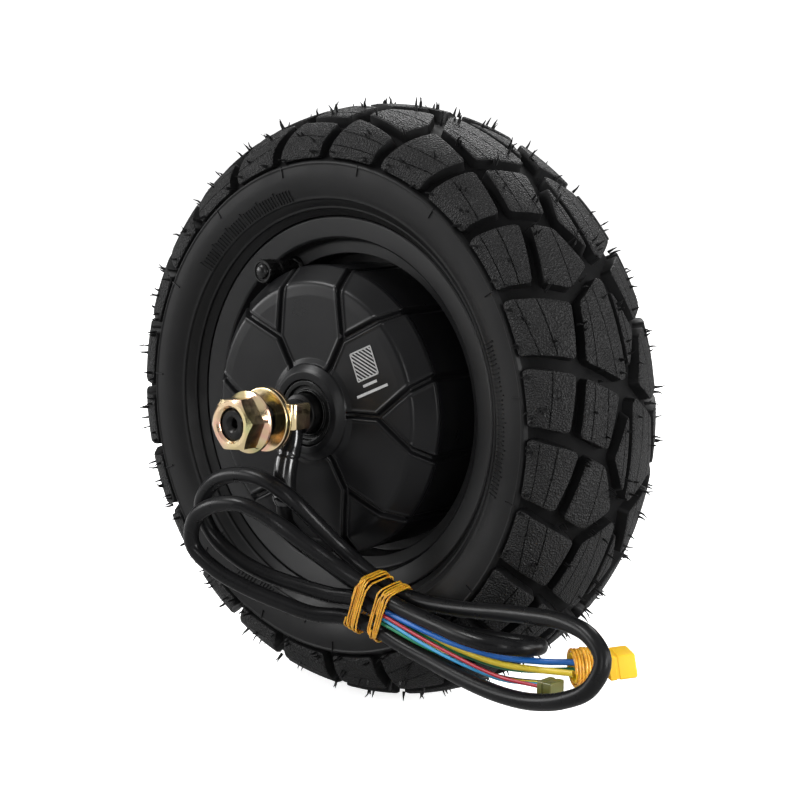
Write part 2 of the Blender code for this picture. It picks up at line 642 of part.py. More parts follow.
def build_cable():
    """Strain relief, inner lead and the main cable with its loops."""
    points = [(0, -53.2, -4.6), (0, -53.4, -8.0), (0, -54.4, -11.5), (0, -56.2, -15.5),
              (0, -57.4, -20.5), (0, -57.7, -26.0), (0, -57.7, -33.2)]
    radii = [3.0, 3.0, 3.8, SLEEVE_RADIUS, SLEEVE_RADIUS, SLEEVE_RADIUS, 3.6]
    tube("cable_strain_relief", points, SLEEVE_RADIUS, "cable_pvc", 3, radii)
    rod("inner_lead", (0, -49.4, 0), (0, -22.5, 0), 3.0, "cable_pvc", 12)
    tube("main_cable", smooth_route(CABLE_ROUTE, CABLE_STEP), CABLE_DIAMETER / 2, "cable_pvc")


def tie_point(outward, up, along):
    """A point given across and along the tied strands."""
    return TIE_CENTRE + TIE_OUT * outward + TIE_UP * up + TIE_ALONG * along


def frame_matrix(origin, x_axis, y_axis):
    """Matrix of a frame with its origin in mm and two of its directions."""
    z_axis = x_axis.cross(y_axis)
    matrix = Matrix((x_axis, y_axis, z_axis)).transposed().to_4x4()
    matrix.translation = origin * MM
    return matrix


def build_ties():
    """Two wound rubber bands around the strands."""
    places = (("1", -5.4, 0.9, -0.4, 7.9, 11.8), ("2", 4.6, -0.2, 0.8, 7.4, 10.9))
    for number, along, outward, up, half_out, half_up in places:
        inner = rounded_rectangle(half_out, half_up, 2.0)
        outer = rounded_rectangle(half_out + 1.2, half_up + 1.2, 3.2)
        matrix = frame_matrix(tie_point(outward, up, along), TIE_OUT, TIE_UP)
        plate(f"rubber_band_{number}", [outer, inner], 4.8, matrix, "amber_rubber")


def build_wires():
    """Phase and sensor wires from the cable's cut end to their plugs."""
    groups = (("phase_wire", PHASE_WIRES, PHASE_WIRE), ("sensor_wire", SENSOR_WIRES, SENSOR_WIRE))
    for prefix, wires, diameter in groups:
        for colour, ((outward, up), route, end) in wires.items():
            start = tie_point(3.4 + outward, up + 0.6, 9.4)
            points = smooth_route([tuple(start)] + route + [end], 8.0)
            tube(f"{prefix}_{colour}", points, diameter / 2, "wire_" + colour, 2)


def plug_matrix(along):
    """Matrix of a section across the phase plug at a distance from its mouth."""
    outward = PLUG_ALONG.cross(Vector((0.0, 0.0, 1.0))).normalized()
    up = outward.cross(PLUG_ALONG)
    return frame_matrix(PLUG_MOUTH + PLUG_ALONG * along, outward, up)


def chamfered_rectangle(half_x, half_y, cut):
    """Outline of a rectangle with cut corners on one long side."""
    return [(half_x, -half_y), (half_x, half_y - cut), (half_x - cut, half_y),
            (cut - half_x, half_y), (-half_x, half_y - cut), (-half_x, -half_y)]


def build_plugs():
    """Three-pole phase plug with its tail sleeve and winding, and the sensor plug."""
    sleeve = rounded_rectangle(5.9, 5.2, 5.0)
    sleeve_bore = rounded_rectangle(4.9, 4.2, 4.0)
    plate("plug_tail_sleeve", [sleeve, sleeve_bore], 11.6, plug_matrix(5.8), "yellow_nylon")
    wrap = rounded_rectangle(7.3, 6.6, 6.3)
    wrap_bore = rounded_rectangle(6.2, 5.5, 5.3)
    plate("plug_rubber_band", [wrap, wrap_bore], 11.0, plug_matrix(5.8), "amber_rubber")
    body = plate("phase_plug", [chamfered_rectangle(7.9, 4.2, 2.2)], 10.0,
                 plug_matrix(16.9), "yellow_nylon", as_mesh=True)
    for i, (x, y) in enumerate(((-4.9, -1.3), (4.9, -1.3), (0.0, 1.5))):
        start = plug_matrix(16.0) @ Vector((x * MM, y * MM, 0.0))
        end = plug_matrix(24.0) @ Vector((x * MM, y * MM, 0.0))
        combine(body, rod(f"cut_pole_{i + 1}", start / MM, end / MM, 1.7, None, 12))
    box("sensor_plug", (118.0, -57.0, -81.8), (124.0, -49.0, -77.2), "clear_nylon")


def build():
    """Makes the whole wheel."""
    build_hub_shell()
    build_rear_cover()
    build_cover_screws()
    build_tyre()
    build_valve()
    build_magnets()
    build_axle()
    build_bearing("near", 29.9)
    build_bearing("far", -36.0)
    build_seals()
    build_stator()
    build_washers()
    build_nuts()
    build_cable()
    build_ties()
    build_wires()
    build_plugs()


for old in list(bpy.data.objects):
    bpy.data.objects.remove(old, do_unlink=True)
PARTS = make_collection("hub_motor_wheel")
CUTTERS = make_collection("cutters")
build()
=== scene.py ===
"""The looks of the hub motor wheel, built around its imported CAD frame.

The wheel's centre is the origin, the axle lies along Y with the cable side at -Y, and +Z is up.
Turned surfaces are described in millimetres by (radius, height), where height is the distance
from the wheel's centre plane towards the cable side.
"""
import math
import random

import bmesh
import bpy
from mathutils import Matrix, Vector


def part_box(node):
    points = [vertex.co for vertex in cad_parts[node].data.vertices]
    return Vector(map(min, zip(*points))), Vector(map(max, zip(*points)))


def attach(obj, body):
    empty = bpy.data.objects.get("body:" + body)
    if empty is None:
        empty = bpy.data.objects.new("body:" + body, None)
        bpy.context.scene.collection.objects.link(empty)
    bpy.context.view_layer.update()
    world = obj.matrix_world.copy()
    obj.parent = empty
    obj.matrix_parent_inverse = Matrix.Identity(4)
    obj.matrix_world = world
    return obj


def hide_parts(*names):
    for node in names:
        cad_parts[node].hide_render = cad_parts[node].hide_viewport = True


MM = 0.001
TAU = 2 * math.pi
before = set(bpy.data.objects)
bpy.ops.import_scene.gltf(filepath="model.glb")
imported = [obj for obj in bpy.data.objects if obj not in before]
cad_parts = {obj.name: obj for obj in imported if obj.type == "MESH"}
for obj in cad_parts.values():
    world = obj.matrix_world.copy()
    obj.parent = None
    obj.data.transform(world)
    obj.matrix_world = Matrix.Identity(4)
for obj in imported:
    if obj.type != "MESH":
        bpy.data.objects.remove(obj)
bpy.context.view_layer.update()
AXLE = "axle_assembly"
WHEEL = "wheel"

# Camera: seen from the right of the cable side, a little above the axle
CAMERA_TARGET = Vector((0.00679, 0.0, 0.00085))
CAMERA_AZIMUTH = math.radians(40.25)
CAMERA_ELEVATION = math.radians(8.63)
CAMERA_ROLL = math.radians(1.06)
CAMERA_DISTANCE = 0.8
CAMERA_LENS = 92.46
CAMERA_SENSOR = 36.0

# Floor and light
WHITE = (1.0, 1.0, 1.0, 1.0)
FLOOR_SIZE = 30.0
FLOOR_GAP = 0.0006              # metres below the tyre's tread
FLOOR_GLOW = 0.78               # what the camera sees
FLOOR_BOUNCE = 0.5              # what the wheel gets back from it
WORLD_SEEN = 1.6
WORLD_LIGHT = 0.07
SUN_STRENGTH = 1.0
SUN_SPREAD = math.radians(110)
SUN_TURN = (math.radians(14), math.radians(-12), 0.0)
AREA_LIGHTS = {                 # place, size (m) and power (W)
    "key": ((-0.85, -0.75, 1.15), (0.55, 0.35), 13.5),
    "left_low": ((-1.1, -1.1, 0.25), (0.6, 0.5), 4.0),
    "left": ((-1.4, -0.65, 0.3), (0.6, 0.5), 7.5),
    "front": ((0.75, -1.3, 0.3), (0.22, 0.9), 6.0),
    "right": ((1.5, -0.05, 0.1), (0.4, 0.8), 18.0),
    "right_back": ((1.5, 0.6, 0.6), (0.5, 1.0), 12.0),
    "back_low": ((1.1, 1.2, 0.25), (0.7, 0.6), 7.0),
    "back": ((-0.6, 1.2, 1.1), (1.0, 0.7), 16.0),
}

# Tyre section and tread; this and all that follows is in mm and degrees
TYRE_RADIUS = 115.0
CROWN_DROP = 23.0
CROWN_HALF = 36.5
CROWN_END = 33.5                # where the crown's curve hands over to the shoulder
TREAD_END = 40.4                # arc length at which the shoulder blocks end
FOOT_START = 34.0               # where the grooves begin to get shallower
TREAD_DEPTH = 4.4
BLOCK_DRAFT = 0.55              # how far a block's sides lean in
BLOCK_FOOT, BLOCK_EDGE, SIPE_FLOOR = -0.15, 0.93, 0.88      # shares of the block's height
SIPE_HALF = 0.22
HAIR_RADII = (0.62, 0.36, 0.14)     # at its foot, knee and tip
REPEATS = 8
REPEAT_DEGREES = 360 / REPEATS
TREAD_START = 41.2              # angle of the first apex of the central zigzag
TREAD_REFERENCE_RADIUS = 108.0
TRANSVERSE = 2.1                # half widths of the grooves
ZIGZAG = 1.7
CIRCLING = 1.25
CENTRE = 0.55

# Petal face
PETAL_STEPS = 1200              # points round the face, and the distance between its rings
PETAL_SPAN = 0.32
GROOVE_COUNT = 6
GROOVE_START = 3.0
JUNCTION_RADIUS = 32.4
BRANCH_ANGLE = 36.0
GROOVE_DEPTH = 1.7
GROOVE_FLOOR = 0.4              # half widths at the floor and at the top
GROOVE_TOP = 1.45
LIP_HEIGHT = 0.22               # rolled lip beside each groove
LIP_PLACE = 1.75
LIP_WIDTH = 0.5
VALVE_ANGLE = 122.8
VALVE_RADIUS = 59.8
MARK_SIDE = 10.6
MARK_TILT = 24.0

# Axle hardware
THREAD_RADIUS = 5.9
THREAD_PITCH = 1.5
THREAD_DEPTH = 0.55
AXLE_END = 85.4
NEAR_THREAD_END, FAR_THREAD_END = 51.2, -46.2
NEAR_FLATS_END, FAR_FLATS_END = 64.0, -52.0
FLAT_HALF = 5.0
NUT_HALF = 9.0                  # half the width across flats
NUT_HEIGHT = 10.3
NUT_CROWN = 8.3
NUT_TURN = 6.0
NUT_BASES = {"near": (76.2, 1), "far": (69.7, -1)}          # height from the centre, and side

# Cable
CABLE_DIAMETER = 6.0
PHASE_WIRE = 2.3
SENSOR_WIRE = 1.3
WIRES_LEAVE = (3.4, 0.6, 6.0)   # where the wires leave the tie: outward, up and along
WIRE_IN_SLEEVE = 3.4
TIE_CENTRE = Vector((37.1, -45.0, -68.4))
TIE_ALONG = Vector((0.943, 0.0, -0.333)).normalized()
TIE_UP = Vector((0.333, 0.0, 0.943)).normalized()
TIE_OUT = Vector((0.0, -1.0, 0.0))
TIE_REACH = (12, 15)            # strands this far out and up belong to the hank
TIE_BANDS = (("1", -7.9, -2.9, 7), ("2", 2.2, 7.0, 6))      # name, limits along, turns
TIE_STRAND = 0.34
TIE_STRAY = 0.4                 # how far a turn may leave its band's limits
TIE_LEAN = 1.5
TIE_GROWTH = 0.11               # each turn lies this much over the last
PLUG_MOUTH = Vector((122.4, -44.0, -74.7))
PLUG_ALONG = Vector((0.63, 0.75, 0.1)).normalized()
PLUG_OUT = PLUG_ALONG.cross(Vector((0.0, 0.0, 1.0))).normalized()
PLUG_UP = PLUG_OUT.cross(PLUG_ALONG)
PLUG_START, PLUG_END = 12.0, 21.9
PLUG_POLES = ((-4.4, -0.9), (4.4, -0.9), (0.0, 1.2))
WRAP_TURNS = 9                  # of the rubber band wound on the plug's tail
WRAP_STRAND = 0.56
WRAP_START, WRAP_LENGTH = 0.7, 10.4
WRAP_RADIUS = 6.45

CABLE_ROUTE = [
    (0, -57.7, -34.6), (1.5, -57.3, -41), (9, -54, -48.5), (17, -48.3, -56), (25, -43.0, -62.7),
    (37, -41.4, -68.4), (50.5, -40.5, -71.3), (63, -39.2, -72.5), (75, -37.4, -73.3),
    (87, -35.0, -73.4), (98, -34.6, -72.6), (105.5, -38.4, -71.2), (107.6, -45.4, -70.0),
    (104, -52.3, -69.2), (95.5, -56.2, -68.6), (84, -55.9, -68.0), (72, -53.2, -67.3),
    (60, -50.4, -66.6), (48, -48.6, -65.0), (34.5, -49, -60.8), (24, -54, -53.8),
    (16, -62, -45.5), (6.5, -69, -37.5), (-6, -72.5, -32.5), (-20, -73.5, -34),
    (-32, -72.5, -41), (-36, -70, -52.5), (-27, -66.5, -61.3), (-14.5, -62.5, -66.8),
    (-2, -58, -70.8), (11, -53.5, -73.9), (24, -49.5, -73.6), (37.5, -48.2, -75.4),
    (51, -49, -79.0), (65, -51, -81.2), (78.5, -54, -82.8), (92, -56.5, -84.2),
    (106, -59, -84.6), (120, -61.5, -83.2), (133.5, -63.5, -79.5), (145, -64.5, -73),
    (149, -63, -63), (141, -60, -56.3), (127, -56, -55), (110.5, -51.5, -57),
    (97, -48.5, -59), (83.5, -45.8, -61.2), (69.5, -43.6, -63), (55.5, -42, -63.8),
    (42, -41.5, -62.2), (29.5, -42.7, -57), (20.5, -48, -48.5), (15.5, -56.5, -38.5),
    (9, -64, -28.5), (-2.5, -66.5, -23), (-16.5, -66.5, -23), (-29.5, -65.5, -28),
    (-38, -63.5, -38.5), (-34.5, -60, -50.5), (-23.5, -57, -58.5), (-10.5, -54.5, -62.8),
    (3, -52, -64.9), (17, -49.9, -66.2), (30.5, -48.5, -66.0), (43.2, -48.5, -70.2),
]
PHASE_WIRES = {
    "blue": ((0.5, 1.6), [(62, -50.8, -70.9), (78, -51.6, -73.0), (96.5, -49.4, -74.6),
                          (112, -46.0, -73.9)], (121.8, -44.0, -72.6)),
    "yellow": ((-2.5, 0.9), [(62, -48.2, -72.4), (78, -49.2, -75.4), (96, -49.0, -77.2),
                             (111, -47.2, -76.7)], (121.8, -45.9, -75.9)),
    "green": ((-0.6, -0.9), [(62, -47.7, -75.2), (78, -46.9, -77.6), (96, -45.4, -79.2),
                             (111, -43.0, -77.9)], (121.8, -42.0, -75.9)),
}
SENSOR_WIRES = {
    "red": ((2.6, 1.0), [(62, -52.8, -73.0), (78, -53.9, -76.2), (92, -54.8, -78.6),
                         (103, -55.2, -79.8)], (117.6, -55.2, -79.6)),
    "blue": ((1.9, -0.7), [(62, -52.4, -75.0), (78, -53.0, -78.4), (92, -53.4, -80.4),
                           (103, -53.6, -80.9)], (117.6, -53.6, -79.6)),
    "green": ((1.9, -2.5), [(62, -51.2, -76.5), (78, -51.3, -78.9), (92, -51.8, -81.2),
                            (103, -52.0, -81.5)], (117.6, -52.0, -79.6)),
    "yellow": ((0.2, -2.6), [(62, -49.6, -76.4), (78, -49.4, -79.2), (92, -50.0, -81.4),
                             (103, -50.4, -81.5)], (117.6, -50.4, -79.6)),
    "black": ((-1.7, -2.7), [(62, -46.4, -77.2), (78, -46.6, -79.9), (92, -48.3, -81.7),
                             (103, -48.8, -81.5)], (117.6, -48.8, -79.6)),
}


# Camera, floor and light

def link(obj):
    """Puts an object into the scene."""
    bpy.context.scene.collection.objects.link(obj)
    return obj


def add_camera():
    """The camera, turned about its own axis by a small roll."""
    ahead = Vector((-math.cos(CAMERA_ELEVATION) * math.sin(CAMERA_AZIMUTH),
                    math.cos(CAMERA_ELEVATION) * math.cos(CAMERA_AZIMUTH),
                    -math.sin(CAMERA_ELEVATION)))
    right = Vector((math.cos(CAMERA_AZIMUTH), math.sin(CAMERA_AZIMUTH), 0.0))
    up = right.cross(ahead)
    turn = Matrix((right, up, -ahead)).transposed().to_4x4()
    data = bpy.data.cameras.new("camera")
    data.lens = CAMERA_LENS
    data.sensor_width = CAMERA_SENSOR
    data.clip_start = 0.01
    camera = link(bpy.data.objects.new("camera", data))
    place = Matrix.Translation(CAMERA_TARGET - ahead * CAMERA_DISTANCE)
    camera.matrix_world = place @ turn @ Matrix.Rotation(CAMERA_ROLL, 4, 'Z')
    bpy.context.scene.camera = camera


def add_light(name, kind, energy):
    """A light of one of Blender's kinds."""
    data = bpy.data.lights.new(name, kind)
    data.energy = energy
    return link(bpy.data.objects.new(name, data))


def add_area_light(name, place, size, power):
    """A rectangular soft light that faces the wheel's centre."""
    light = add_light(name, 'AREA', power)
    light.data.shape = 'RECTANGLE'
    light.data.size, light.data.size_y = size
    light.location = place
    light.rotation_euler = (-Vector(place)).to_track_quat('-Z', 'Y').to_euler()


def camera_only(tree, plain, seen, surface):
    """Shows one shader to the camera and lets the other one light the scene."""
    path = tree.nodes.new('ShaderNodeLightPath')
    mix = tree.nodes.new('ShaderNodeMixShader')
    tree.links.new(path.outputs["Is Camera Ray"], mix.inputs[0])
    tree.links.new(plain.outputs[0], mix.inputs[1])
    tree.links.new(seen.outputs[0], mix.inputs[2])
    tree.links.new(mix.outputs[0], surface)


def add_studio():
    """Plain pale floor, a world of the same white, a broad sun and soft lights."""
    bpy.ops.mesh.primitive_plane_add(size=FLOOR_SIZE,
                                     location=(0.0, 0.0, -TYRE_RADIUS * MM - FLOOR_GAP))
    floor = bpy.context.object
    floor.name = "floor"
    floor.data.materials.append(floor_material())
    world = bpy.data.worlds.new("studio")
    bpy.context.scene.world = world
    world.use_nodes = True
    nodes = world.node_tree.nodes
    back = nodes["Background"]
    set_inputs(back, {"Color": WHITE, "Strength": WORLD_LIGHT})
    seen = nodes.new('ShaderNodeBackground')
    set_inputs(seen, {"Strength": WORLD_SEEN})
    camera_only(world.node_tree, back, seen, nodes["World Output"].inputs["Surface"])
    sun = add_light("sky", 'SUN', SUN_STRENGTH)
    sun.data.angle = SUN_SPREAD
    sun.rotation_euler = SUN_TURN
    for name, row in AREA_LIGHTS.items():
        add_area_light(name, *row)
    bpy.context.scene.view_settings.view_transform = 'Standard'


# Materials

def set_inputs(node, values):
    """Sets a node's sockets by name."""
    for name, value in values.items():
        node.inputs[name].default_value = value


class Nodes:
    """A node material under construction."""

    def __init__(self, name):
        self.material = bpy.data.materials.new(name)
        self.material.use_nodes = True
        self.tree = self.material.node_tree
        self.shader = self.tree.nodes["Principled BSDF"]
        self.place = self.add('ShaderNodeTexCoord', "Object")

    def add(self, kind, output, values=None, sources=None):
        """Adds a node with its sockets set or linked, and gives back one of its outputs."""
        node = self.tree.nodes.new(kind)
        set_inputs(node, values or {})
        for name, source in (sources or {}).items():
            self.tree.links.new(source, node.inputs[name])
        return node.outputs[output]

    def noise(self, scale, detail=3.0, stretch=None):
        source = self.place
        if stretch:
            source = self.add('ShaderNodeMapping', "Vector", {"Scale": stretch},
                              {"Vector": source})
        return self.add('ShaderNodeTexNoise', "Fac", {"Scale": scale, "Detail": detail},
                        {"Vector": source})

    def cells(self, scale):
        node = self.add('ShaderNodeTexVoronoi', "Distance", {"Scale": scale},
                        {"Vector": self.place}).node
        node.feature = 'SMOOTH_F1'
        set_inputs(node, {"Smoothness": 0.6})
        return node.outputs["Distance"]

    def ramp(self, source, stops):
        colour = self.add('ShaderNodeValToRGB', "Color", sources={"Fac": source})
        elements = colour.node.color_ramp.elements
        while len(elements) < len(stops):
            elements.new(0.5)
        for element, (position, shade) in zip(elements, stops):
            element.position = position
            element.color = (*shade, 1.0)
        return colour

    def spread(self, source, low, high):
        return self.add('ShaderNodeMapRange', "Result",
                        {"From Min": 0.3, "From Max": 0.7, "To Min": low, "To Max": high},
                        {"Value": source})

    def dress(self, colour, roughness, heights, values):
        """Drives colour, roughness and a chain of bumps, each (source, strength, distance in
        mm), sets the shader's other sockets and gives back the material."""
        normal = None
        for source, strength, distance in heights:
            sources = {"Height": source}
            if normal:
                sources["Normal"] = normal
            normal = self.add('ShaderNodeBump', "Normal",
                              {"Strength": strength, "Distance": distance * MM}, sources)
        for name, source in (("Base Color", colour), ("Roughness", roughness),
                             ("Normal", normal)):
            self.tree.links.new(source, self.shader.inputs[name])
        set_inputs(self.shader, values)
        return self.material


def floor_material():
    """White paper that glows a little, as on a lit table; it throws less light back up."""
    made = Nodes("floor_paper")
    set_inputs(made.shader, {"Base Color": (0.95, 0.95, 0.95, 1.0), "Roughness": 0.95,
                             "Specular IOR Level": 0.0, "Emission Color": WHITE,
                             "Emission Strength": FLOOR_GLOW})
    dim = made.tree.nodes.new('ShaderNodeBsdfDiffuse')
    set_inputs(dim, {"Color": (FLOOR_BOUNCE, FLOOR_BOUNCE, FLOOR_BOUNCE, 1.0)})
    output = made.tree.nodes["Material Output"]
    camera_only(made.tree, dim, made.shader, output.inputs["Surface"])
    return made.material


def finish(name, low, high, roughness, metallic=0.0, patch=60.0, grain=900.0, grain_height=0.02,
           coat=0.0, subsurface=0.0, specular=0.5):
    """A finish whose colour and roughness drift, with a fine grain."""
    made = Nodes(name)
    colour = made.ramp(made.noise(patch, 4.0), [(0.3, low), (0.7, high)])
    rough = made.spread(made.noise(patch * 2.3), *roughness)
    return made.dress(colour, rough, [(made.noise(grain, 2.0), 0.5, grain_height)],
                      {"Metallic": metallic, "Coat Weight": coat, "Coat Roughness": 0.15,
                       "Subsurface Weight": subsurface, "Subsurface Scale": 0.002,
                       "Specular IOR Level": specular})


def block_top_material():
    """Tread face: a leather-like grain, greyer where the mould left it dry."""
    made = Nodes("tread_face")
    soft = made.noise(1600.0, 2.0)
    colour = made.ramp(made.noise(45.0, 5.0),
                       [(0.3, (0.009, 0.009, 0.0093)), (0.72, (0.015, 0.015, 0.0153))])
    return made.dress(colour, made.spread(soft, 0.40, 0.6),
                      [(made.cells(1500.0), 1.0, 0.7), (soft, 0.4, 0.15)],
                      {"Specular IOR Level": 0.17})


def gold_zinc_material():
    """Yellow chromate on steel: pale gold that drifts to rose and green, lightly scratched."""
    made = Nodes("yellow_zinc")
    colour = made.ramp(made.noise(75.0, 1.5),
                       [(0.30, (0.52, 0.56, 0.27)), (0.42, (0.78, 0.64, 0.34)),
                        (0.54, (0.86, 0.68, 0.42)), (0.64, (0.84, 0.50, 0.38)),
                        (0.76, (0.68, 0.60, 0.30))])
    return made.dress(colour, made.spread(made.noise(420.0, 4.0), 0.14, 0.26),
                      [(made.noise(600.0, 2.0, (1.0, 4.0, 1.0)), 0.25, 0.03)],
                      {"Metallic": 1.0})


def make_materials():
    """Every finish, by the name of what it is on."""
    return {
        "rubber": finish("tyre_rubber", (0.004, 0.004, 0.0043), (0.008, 0.008, 0.0083),
                         (0.40, 0.56), patch=35.0, grain=800.0, grain_height=0.03,
                         specular=0.2),
        # Groove floor: darker and duller than the other rubber, partly for dust and partly as
        # painted shade in the recess
        "groove": finish("tread_groove_dust_and_painted_shade", (0.003, 0.003, 0.0032), (0.006, 0.006, 0.0062),
                         (0.55, 0.75), patch=35.0, grain=800.0, grain_height=0.03,
                         specular=0.08),
        "tread": block_top_material(),
        "paint": finish("black_powder_coat", (0.0035, 0.0035, 0.004), (0.006, 0.006, 0.0065),
                        (0.27, 0.35), patch=25.0, grain=620.0, grain_height=0.03,
                        specular=0.19),
        "rim": finish("satin_rim_coat", (0.008, 0.008, 0.0085), (0.013, 0.013, 0.0135),
                      (0.34, 0.44), patch=25.0, grain=620.0, grain_height=0.03,
                      specular=0.35),
        "seal": finish("seal_rubber", (0.002, 0.002, 0.002), (0.005, 0.005, 0.005),
                       (0.22, 0.32), grain=1200.0, specular=0.26),
        "zinc": gold_zinc_material(),
        "black_steel": finish("black_oxide_steel", (0.012, 0.012, 0.013), (0.030, 0.029, 0.028),
                              (0.26, 0.42), metallic=0.9, patch=160.0, grain=1500.0),
        "bearing": finish("bearing_steel", (0.52, 0.52, 0.54), (0.64, 0.64, 0.66),
                          (0.18, 0.30), metallic=1.0),
        "lamination": finish("electrical_steel", (0.24, 0.25, 0.28), (0.36, 0.37, 0.40),
                             (0.35, 0.5), metallic=0.9),
        "copper": finish("enamelled_copper", (0.48, 0.17, 0.06), (0.70, 0.30, 0.12),
                         (0.22, 0.36), metallic=0.9, grain=2500.0, grain_height=0.1),
        "magnet": finish("nickel", (0.42, 0.42, 0.43), (0.55, 0.54, 0.52), (0.2, 0.32),
                         metallic=1.0),
        "cast": finish("cast_aluminium", (0.36, 0.36, 0.37), (0.48, 0.48, 0.49), (0.42, 0.6),
                       metallic=0.9, grain=500.0, grain_height=0.15),
        "board": finish("circuit_board", (0.01, 0.10, 0.03), (0.02, 0.16, 0.05), (0.3, 0.4)),
        "cable": finish("cable_jacket", (0.005, 0.005, 0.0055), (0.009, 0.009, 0.0095),
                        (0.24, 0.34), patch=50.0, grain=700.0, grain_height=0.015,
                        specular=0.14),
        "sleeve": finish("strain_relief_sleeve", (0.006, 0.006, 0.0065), (0.010, 0.010, 0.0105),
                         (0.13, 0.2), patch=50.0, grain=700.0, grain_height=0.015,
                         specular=0.6),
        "amber": finish("amber_rubber_band", (0.60, 0.25, 0.012), (0.92, 0.50, 0.045),
                        (0.24, 0.38), patch=320.0, grain=1500.0, coat=0.3, subsurface=0.15),
        "yellow_plug": finish("yellow_nylon", (0.86, 0.50, 0.012), (0.94, 0.58, 0.02),
                              (0.34, 0.46), grain=1600.0, subsurface=0.1),
        "olive_plug": finish("olive_nylon", (0.08, 0.08, 0.016), (0.15, 0.15, 0.04),
                             (0.25, 0.4), grain=1600.0, subsurface=0.2),
        "mark": finish("laser_mark", (0.30, 0.30, 0.30), (0.42, 0.42, 0.42), (0.5, 0.6),
                       patch=900.0),
        "blue": finish("wire_blue", (0.008, 0.10, 0.42), (0.015, 0.15, 0.52), (0.28, 0.4)),
        "sensor_blue": finish("wire_light_blue", (0.02, 0.25, 0.52), (0.05, 0.34, 0.62),
                              (0.28, 0.4)),
        "yellow": finish("wire_yellow", (0.78, 0.56, 0.03), (0.86, 0.66, 0.07), (0.3, 0.42)),
        "green": finish("wire_green", (0.005, 0.15, 0.06), (0.01, 0.22, 0.09), (0.28, 0.4)),
        "red": finish("wire_red", (0.32, 0.006, 0.018), (0.42, 0.012, 0.03), (0.28, 0.4)),
        "black": finish("wire_black", (0.012, 0.012, 0.012), (0.02, 0.02, 0.02), (0.28, 0.4)),
    }


LOOKS = make_materials()


# Helpers for numbers and meshes

def clamp(value):
    """A value held between 0 and 1."""
    return max(0.0, min(1.0, value))


def eased(share):
    """A share that starts and ends gently."""
    return share * share * (3 - 2 * share)


def polar(radius, height, degrees):
    """A point round the axle, in metres."""
    angle = math.radians(degrees)
    return Vector((radius * math.cos(angle), -height, radius * math.sin(angle))) * MM


VALVE_PLACE = polar(VALVE_RADIUS, 0.0, VALVE_ANGLE)


def heading(degrees):
    """A flat unit vector."""
    return Vector((math.cos(math.radians(degrees)), math.sin(math.radians(degrees))))


def left_of(ahead):
    """A flat vector turned a quarter to the left."""
    return Vector((-ahead.y, ahead.x))


def path_normal(path, i):
    """The unit normal of a flat path at one of its points."""
    a, b = path[max(0, i - 1)], path[min(len(path) - 1, i + 1)]
    return left_of(Vector((b[0] - a[0], b[1] - a[1])).normalized())


def ring_stack(profile, steps, turn=0.0):
    """A ring of points round the axle for each (radius, height) of a profile; a radius may be
    a function of the angle."""
    angles = [360 * j / steps for j in range(steps)]
    return [[polar(radius(angle) if callable(radius) else radius, height, angle + turn)
             for angle in angles] for radius, height in profile]


def hexagon(half, turn):
    """The radius of a hexagon, given half its width across flats, by angle."""
    return lambda degrees: half / math.cos(math.radians((degrees + turn) % 60 - 30))


def show(obj, body, replaces):
    """Links a piece that rides on a body and hides the parts it replaces."""
    link(obj)
    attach(obj, body)
    if replaces:
        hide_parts(*replaces)
    return obj


def new_piece(mesh, looks, body, replaces=(), sharp=32.0):
    """Shows a mesh as a piece of the same name, smooth but for edges sharper than an angle."""
    for look in looks:
        mesh.materials.append(LOOKS[look])
    if sharp:
        mesh.shade_smooth()
        mesh.set_sharp_from_angle(angle=math.radians(sharp))
    return show(bpy.data.objects.new(mesh.name, mesh), body, replaces)


def freed(name, shape):
    """A mesh made from a bmesh, which is freed."""
    mesh = bpy.data.meshes.new(name)
    shape.to_mesh(mesh)
    shape.free()
    return mesh


def loft(name, rings, closed=False):
    """A mesh whose rings of points are joined in order; closed joins the last to the first,
    and otherwise both ends get a cap."""
    count = len(rings[0])
    verts = [point for points in rings for point in points]
    faces = []
    for i in range(len(rings) if closed else len(rings) - 1):
        a, b = i * count, (i + 1) % len(rings) * count
        for j in range(count):
            k = (j + 1) % count
            faces.append((a + j, a + k, b + k, b + j))
    if not closed:
        faces.append(tuple(range(count)))
        faces.append(tuple(range((len(rings) - 1) * count, len(rings) * count)))
    mesh = bpy.data.meshes.new(name)
    mesh.from_pydata(verts, [], faces)
    shape = bmesh.new()
    shape.from_mesh(mesh)
    bmesh.ops.recalc_face_normals(shape, faces=shape.faces)
    shape.to_mesh(mesh)
    shape.free()
    return mesh


def rounded(profile, closed=True, steps=4):
    """Replaces each corner that has a third number by an arc of about that radius."""
    result = []
    count = len(profile)
    for i, corner in enumerate(profile):
        here = Vector(corner[:2])
        if len(corner) < 3 or (not closed and i in (0, count - 1)):
            result.append(tuple(here))
            continue
        before = Vector(profile[i - 1][:2]) - here
        after = Vector(profile[(i + 1) % count][:2]) - here
        reach = corner[2] / math.tan(before.angle(after) / 2)
        reach = min(reach, 0.48 * before.length, 0.48 * after.length)
        start = here + before.normalized() * reach
        end = here + after.normalized() * reach
        for k in range(steps + 1):
            t = k / steps
            result.append(tuple(start * (1 - t) ** 2 + here * 2 * t * (1 - t) + end * t ** 2))
    return result


def mirrored(profile):
    """The same profile on the other side of the centre plane, in the order that follows on."""
    return [(radius, -height, *corner) for radius, height, *corner in profile[::-1]]


def turned(name, profile, steps):
    """A turned mesh about the axle from a closed profile with optional rounded corners."""
    return loft(name, ring_stack(rounded(profile), steps), closed=True)


def moved(mesh, offset):
    """Shifts a mesh by an offset in metres."""
    mesh.transform(Matrix.Translation(offset))
    return mesh


